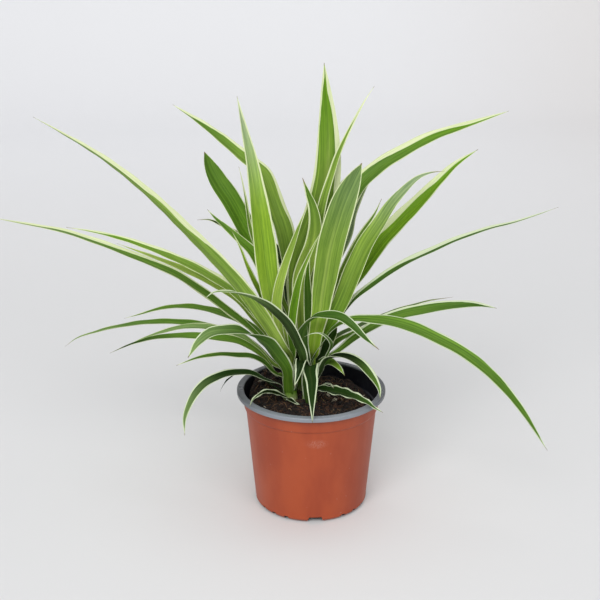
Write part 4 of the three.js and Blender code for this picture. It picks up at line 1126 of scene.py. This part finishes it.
def cutter_block(notch, turn):
    """A wedge-topped block that cuts one drain notch."""
    half, top = notch["width"] / 2, notch["height"]
    foot_half, top_half = half * NOTCH_FOOT_SHARE, half * NOTCH_TOP_SHARE
    corners = []
    for radius in (BASE_RADIUS - notch["depth"], BASE_RADIUS + NOTCH_OUTSIDE):
        corners += [(radius, -foot_half, NOTCH_BELOW), (radius, foot_half, NOTCH_BELOW),
                    (radius, top_half, top), (radius, -top_half, top)]
    c, s = math.cos(math.radians(turn)), math.sin(math.radians(turn))
    verts = [((x * c - y * s) * MM, (x * s + y * c) * MM, z * MM) for x, y, z in corners]
    faces = [(0, 3, 2, 1), (4, 5, 6, 7), (0, 1, 5, 4), (1, 2, 6, 5), (2, 3, 7, 6), (3, 0, 4, 7)]
    return verts, faces


def cutter_drain(turn):
    """A cylinder that cuts one drain hole in the floor."""
    angle = math.radians(turn)
    x, y = DRAIN_CIRCLE * math.cos(angle), DRAIN_CIRCLE * math.sin(angle)
    verts = []
    for height in (DRAIN_BELOW, FLOOR + DRAIN_ABOVE):
        for k in range(DRAIN_SIDES):
            t = k / DRAIN_SIDES * math.tau
            spot = (x + DRAIN_RADIUS * math.cos(t), y + DRAIN_RADIUS * math.sin(t), height)
            verts.append(tuple(number * MM for number in spot))
    return verts, tube_faces(2, DRAIN_SIDES)


def cutters_mesh():
    parts = []
    for quarter in range(0, 360, NOTCH_QUARTER):
        parts.append(cutter_block(WIDE_NOTCH, NOTCH_START + quarter))
        parts += [cutter_block(SMALL_NOTCH, NOTCH_START + quarter + turn) for turn in SMALL_NOTCH_TURNS]
    parts += [cutter_drain(hole * 360 / DRAIN_HOLES) for hole in range(DRAIN_HOLES)]
    verts, faces = [], []
    for part_verts, part_faces in parts:
        first = len(verts)
        verts += part_verts
        faces += [tuple(first + k for k in face) for face in part_faces]
    return new_mesh("drain_cutters", verts, faces)


def cut(mesh, tool_mesh):
    """mesh without what the tool's closed parts take out of it."""
    body = new_object("cut_body", mesh)
    tool = new_object("cut_tool", tool_mesh)
    modifier = body.modifiers.new("cut", "BOOLEAN")
    modifier.operation = "DIFFERENCE"
    modifier.solver = "EXACT"
    modifier.object = tool
    graph = bpy.context.evaluated_depsgraph_get()
    made = bpy.data.meshes.new_from_object(body.evaluated_get(graph))
    bpy.data.objects.remove(body)
    bpy.data.objects.remove(tool)
    return made


def shade_notch_walls(mesh):
    """Gives the walls behind the drain notches the pot's dark inner plastic, as painted shade for the
    shadowed hollow under the pot.
    """
    for face in mesh.polygons:
        x, y, z = face.center
        behind = math.hypot(x, y) / MM < BASE_RADIUS - FOOT_SKIN
        if behind and z < FOOT_RINGS[-1] * MM and abs(face.normal.z) < LEVEL:
            face.material_index = INSIDE


def make_pot():
    line = rounded(pot_profile(), CORNERS)
    above = next(k for k, (_, height) in enumerate(line) if height > FOOT_RINGS[-1])
    line[above:above] = [(wall_radius(height), height) for height in FOOT_RINGS]
    zones = pot_zones(line)
    verts, rings = spun([point for zone in zones for point in zone], POT_SIDES)
    mesh = new_mesh("pot_body", verts, spun_faces(rings, POT_SIDES))
    zone_of = [number for number, zone in enumerate(zones) for _ in zone]
    mesh.polygons.foreach_set("material_index", [zone for zone in zone_of[1:] for _ in range(POT_SIDES)])
    mesh.materials.append(plastic_material("pot_terracotta", TERRACOTTA, scuffed=True))
    mesh.materials.append(plastic_material("pot_rim", RIM_GREY, front_highlight=True))
    mesh.materials.append(plastic_material("pot_inside", INSIDE_BLACK))
    pot = cut(mesh, cutters_mesh())
    shade_notch_walls(pot)
    add_piece("pot_shell", pot, [], "nursery_pot")


# ---------------------------------------------------------------- soil

SOIL_TURNS = 180
SOIL_STEP = 0.9
SOIL_SIDE_TOP = 70.5

# Waves of the soil's top, as in the solids: height, and radians to a mm along x and y.
SWELL = (0.9, 0.31, 0.27)
SWELL_START = 1
RIPPLE = (0.6, 0.17, 0.43)

# Its clods and grains: height, noise cells to a mm, and the layer of the noise.
CLODS = (1.5, 0.22, 3.0)
GRAINS = (0.8, 0.75, 9.0)

CRUMBS = 1500
PALE_BITS = 46
CRUMB_BROWNS = ((22, 15, 12), (34, 22, 17), (50, 32, 24), (78, 50, 34), (18, 14, 12))
PALE_TINTS = ((150, 128, 98), (186, 176, 156), (120, 96, 66))
CRUMB_SMALLEST = 0.5
CRUMB_GROWTH = 1.5
CRUMB_SMOOTH = 0.9
CRUMB_STRETCH = ((0.8, 1.7), (0.6, 1.1), (0.4, 0.8))
CRUMB_LUMPS = 0.28
CRUMB_LIFT = 0.25
CRUMB_INSET = 1.5
EDGE_SLACK = 1.05

FIBRES = 520
FIBRE_SIDES = 5
FIBRE_STEPS = 7
FIBRE_BROWNS = ((92, 64, 42), (124, 92, 62), (64, 44, 32), (150, 118, 84))
FIBRE_LENGTHS = (3, 11)
FIBRE_BENDS = (-1.4, 1.4)
FIBRE_RADII = (0.1, 0.24)
FIBRE_ARCHES = (0.2, 1.6)
FIBRE_LIFT = 0.3
FIBRE_THINS = 0.6
FIBRE_INSET = 4


def mound(shape, x, y):
    at_x, at_y, height, spread = shape
    return height * math.exp(-((x - at_x) ** 2 + (y - at_y) ** 2) / spread ** 2)


def soil_height(x, y):
    height, by_x, by_y = SWELL
    swell = height * math.sin(x * by_x + SWELL_START) * math.cos(y * by_y)
    height, by_x, by_y = RIPPLE
    ripple = height * math.sin(x * by_x - y * by_y)
    return SOIL_LEVEL + mound(HEAP, x, y) + mound(HOLLOW, x, y) + swell + ripple


def lumps(shape, x, y):
    height, cells, layer = shape
    return noise.noise(Vector((x * cells, y * cells, layer))) * height


def rough_height(x, y):
    return soil_height(x, y) + lumps(CLODS, x, y) + lumps(GRAINS, x, y)


def soil_mesh():
    """The fill of the pot, one closed body with a rough top."""
    fillet = FLOOR + FLOOR_FILLET
    low = [
        (0.0, FLOOR + GAP),
        (wall_radius(FLOOR) - WALL - FLOOR_FILLET - GAP, FLOOR + GAP),
        (wall_radius(fillet) - WALL - GAP, fillet + GAP),
        (wall_radius(SOIL_SIDE_TOP) - WALL - GAP, SOIL_SIDE_TOP),
    ]
    top = [(radius, None) for radius in np.arange(SOIL_RIM_RADIUS, SOIL_STEP, -SOIL_STEP)]
    verts, rings = spun(low + top + [(0.0, None)], SOIL_TURNS)
    return new_mesh("soil_body", verts, spun_faces(rings, SOIL_TURNS))


def ico_points():
    """Corners and faces of an icosahedron of radius 1."""
    golden = (1 + 5 ** 0.5) / 2
    corners = []
    for a in (-1, 1):
        for b in (-golden, golden):
            corners += [(a, b, 0), (0, a, b), (b, 0, a)]
    corners = unit(np.array(corners, float))
    edge = min(np.linalg.norm(corners[0] - c) for c in corners[1:]) * EDGE_SLACK
    count = len(corners)
    faces = []
    for i in range(count):
        for j in range(i + 1, count):
            for k in range(j + 1, count):
                a, b, c = corners[i], corners[j], corners[k]
                if max(np.linalg.norm(a - b), np.linalg.norm(b - c), np.linalg.norm(a - c)) < edge:
                    out = np.dot(np.cross(b - a, c - a), a + b + c) > 0
                    faces.append((i, j, k) if out else (i, k, j))
    return corners, faces


def halved(corners, faces):
    """The same sphere with each face split into four."""
    points, made, middle = [tuple(c) for c in corners], [], {}

    def between(i, j):
        key = (min(i, j), max(i, j))
        if key not in middle:
            middle[key] = len(points)
            points.append(tuple(unit((np.array(points[i]) + np.array(points[j])) / 2)))
        return middle[key]

    for a, b, c in faces:
        ab, bc, ca = between(a, b), between(b, c), between(c, a)
        made += [(a, ab, ca), (ab, b, bc), (ca, bc, c), (ab, bc, ca)]
    return np.array(points), made


def random_turn(draw):
    """A random rotation matrix."""
    a = unit(np.array([draw.gauss(0, 1) for _ in range(3)]))
    b = unit(np.cross(a, np.array([draw.gauss(0, 1) for _ in range(3)])))
    return np.stack((a, b, np.cross(a, b)))


def soil_place(draw, reach):
    """A random place on the soil, up to this far from the pot's axis."""
    radius = reach * math.sqrt(draw.random())
    turn = draw.uniform(0, math.tau)
    return radius * math.cos(turn), radius * math.sin(turn)


def bits_mesh(name, verts, faces, tints):
    mesh = new_mesh(name, verts, faces)
    write_colours(mesh, "bit_tint", linear(tints))
    return mesh


def crumbs_mesh():
    """Peat crumbs and bark chips lying on the soil."""
    draw = random.Random("crumbs")
    plain = ico_points()
    fine = halved(*plain)
    verts, faces, tints = [], [], []
    for number in range(CRUMBS + PALE_BITS):
        size = CRUMB_SMALLEST + CRUMB_GROWTH * draw.random() ** 3
        x, y = soil_place(draw, SOIL_RIM_RADIUS - CRUMB_INSET)
        points, triangles = fine if size > CRUMB_SMOOTH else plain
        stretch = np.array([draw.uniform(*span) for span in CRUMB_STRETCH]) * size
        lumpy = np.array([1 + CRUMB_LUMPS * draw.uniform(-1, 1) for _ in points])[:, None]
        placed = (points * lumpy * stretch) @ random_turn(draw)
        first = len(verts)
        lift = rough_height(x, y) + size * CRUMB_LIFT
        verts += [((p[0] + x) * MM, (p[1] + y) * MM, (p[2] + lift) * MM) for p in placed]
        faces += [tuple(first + k for k in f) for f in triangles]
        tints += [draw.choice(PALE_TINTS if number >= CRUMBS else CRUMB_BROWNS)] * len(points)
    return bits_mesh("soil_crumbs", verts, faces, tints)


def fibre_line(draw):
    """A short curve over the soil, and the radius of the fibre along it."""
    x, y = soil_place(draw, SOIL_RIM_RADIUS - FIBRE_INSET)
    heading = draw.uniform(0, math.tau)
    length = draw.uniform(*FIBRE_LENGTHS)
    bend = draw.uniform(*FIBRE_BENDS)
    radius = draw.uniform(*FIBRE_RADII)
    arch = draw.uniform(*FIBRE_ARCHES)
    line = []
    for step in range(FIBRE_STEPS + 1):
        share = step / FIBRE_STEPS
        angle = heading + bend * share
        line.append((x, y, rough_height(x, y) + FIBRE_LIFT + arch * math.sin(share * math.pi)))
        x += math.cos(angle) * length / FIBRE_STEPS
        y += math.sin(angle) * length / FIBRE_STEPS
    return np.array(line), radius


def fibres_mesh():
    """Coir and root fibres that lie over the soil in short curves."""
    draw = random.Random("fibres")
    rings = FIBRE_STEPS + 1
    verts, faces, tints = [], [], []
    for _ in range(FIBRES):
        line, radius = fibre_line(draw)
        if np.hypot(line[:, 0], line[:, 1]).max() > SOIL_RIM_RADIUS:
            continue
        first = len(verts)
        along = unit(np.gradient(line, axis=0))
        side = unit(np.cross(along, (0.0, 0.0, 1.0)))
        up = np.cross(side, along)
        for k, point in enumerate(line):
            size = radius * (1 - FIBRE_THINS * k / FIBRE_STEPS)
            for j in range(FIBRE_SIDES):
                t = j / FIBRE_SIDES * math.tau
                spot = point + (side[k] * math.cos(t) + up[k] * math.sin(t)) * size
                verts.append(tuple(spot * MM))
        start = tuple(first + j for j in range(FIBRE_SIDES))
        faces += [start, tuple(FIBRE_STEPS * FIBRE_SIDES + j for j in start)[::-1]]
        faces += [(a, d, c, b) for a, b, c, d in ring_faces(rings, FIBRE_SIDES, first)]
        tints += [draw.choice(FIBRE_BROWNS)] * (rings * FIBRE_SIDES)
    return bits_mesh("soil_fibres", verts, faces, tints)


def make_soil():
    bits = bit_material()
    add_piece("soil_body", soil_mesh(), [soil_material()], "potting_soil")
    add_piece("soil_crumbs", crumbs_mesh(), [bits], "potting_soil")
    add_piece("soil_fibres", fibres_mesh(), [bits], "potting_soil")


# ---------------------------------------------------------------- stage, lights and camera

# The paper in metres: its front edge, where it bends up, the bend's radius, its top and half width.
PAPER_FRONT = -6.0
PAPER_BEND_FROM = 1.6
PAPER_BEND = 0.8
PAPER_BEND_STEPS = 16
PAPER_TOP = 2.6
PAPER_HALF = 6.0

# Name, place, target, size and power of each light, in metres and watts.
LIGHTS = (
    ("key", (-1.0, -3.4, 3.1), (0, 0.2, 0.1), (2.8, 2.0), 130),
    ("fill", (1.9, -3.0, 2.8), (0, 0.1, 0.1), (2.4, 2.0), 42),
    ("top", (0.1, 0.5, 3.0), (0, 0.3, 0), (2.4, 1.6), 14),
)
SKY = (0.98, 0.985, 1.0, 1.0)
SKY_STRENGTH = 0.42
LENS_MM = 68.0
SENSOR_MM = 36.0


def make_floor():
    """A sheet of studio paper: a floor that turns up into a far backdrop."""
    line = [(PAPER_FRONT, 0.0), (PAPER_BEND_FROM, 0.0)]
    for k in range(1, PAPER_BEND_STEPS + 1):
        t = k / PAPER_BEND_STEPS * math.pi / 2
        line.append((PAPER_BEND_FROM + PAPER_BEND * math.sin(t), PAPER_BEND * (1 - math.cos(t))))
    line.append((PAPER_BEND_FROM + PAPER_BEND, PAPER_TOP))
    verts = [(x, y, z) for y, z in line for x in (-PAPER_HALF, PAPER_HALF)]
    faces = [(2 * k, 2 * k + 1, 2 * k + 3, 2 * k + 2) for k in range(len(line) - 1)]
    mesh = new_mesh("studio_floor", verts, faces)
    mesh.materials.append(floor_material())
    mesh.shade_smooth()
    floor = new_object("studio_floor", mesh)


def make_lights():
    world = bpy.data.worlds.new("studio")
    world.use_nodes = True
    background = world.node_tree.nodes["Background"]
    background.inputs["Color"].default_value = SKY
    background.inputs["Strength"].default_value = SKY_STRENGTH
    bpy.context.scene.world = world
    for name, place, target, size, power in LIGHTS:
        data = bpy.data.lights.new(name, "AREA")
        data.shape = "RECTANGLE"
        data.size, data.size_y = size
        data.energy = power
        light = new_object(name, data)
        light.location = place
        light.rotation_euler = (Vector(target) - Vector(place)).to_track_quat("-Z", "Y").to_euler()


def make_camera():
    data = bpy.data.cameras.new("camera")
    data.lens = LENS_MM
    data.sensor_width = SENSOR_MM
    camera = new_object("camera", data)
    camera.location = EYE * MM
    camera.rotation_euler = (math.radians(90 - VIEW_PITCH), 0, 0)
    bpy.context.scene.camera = camera
    bpy.context.scene.view_settings.view_transform = "Standard"


make_pot()
make_soil()
make_crowns(sheath_material())
make_leaves(leaf_material())
make_floor()
make_lights()
make_camera()
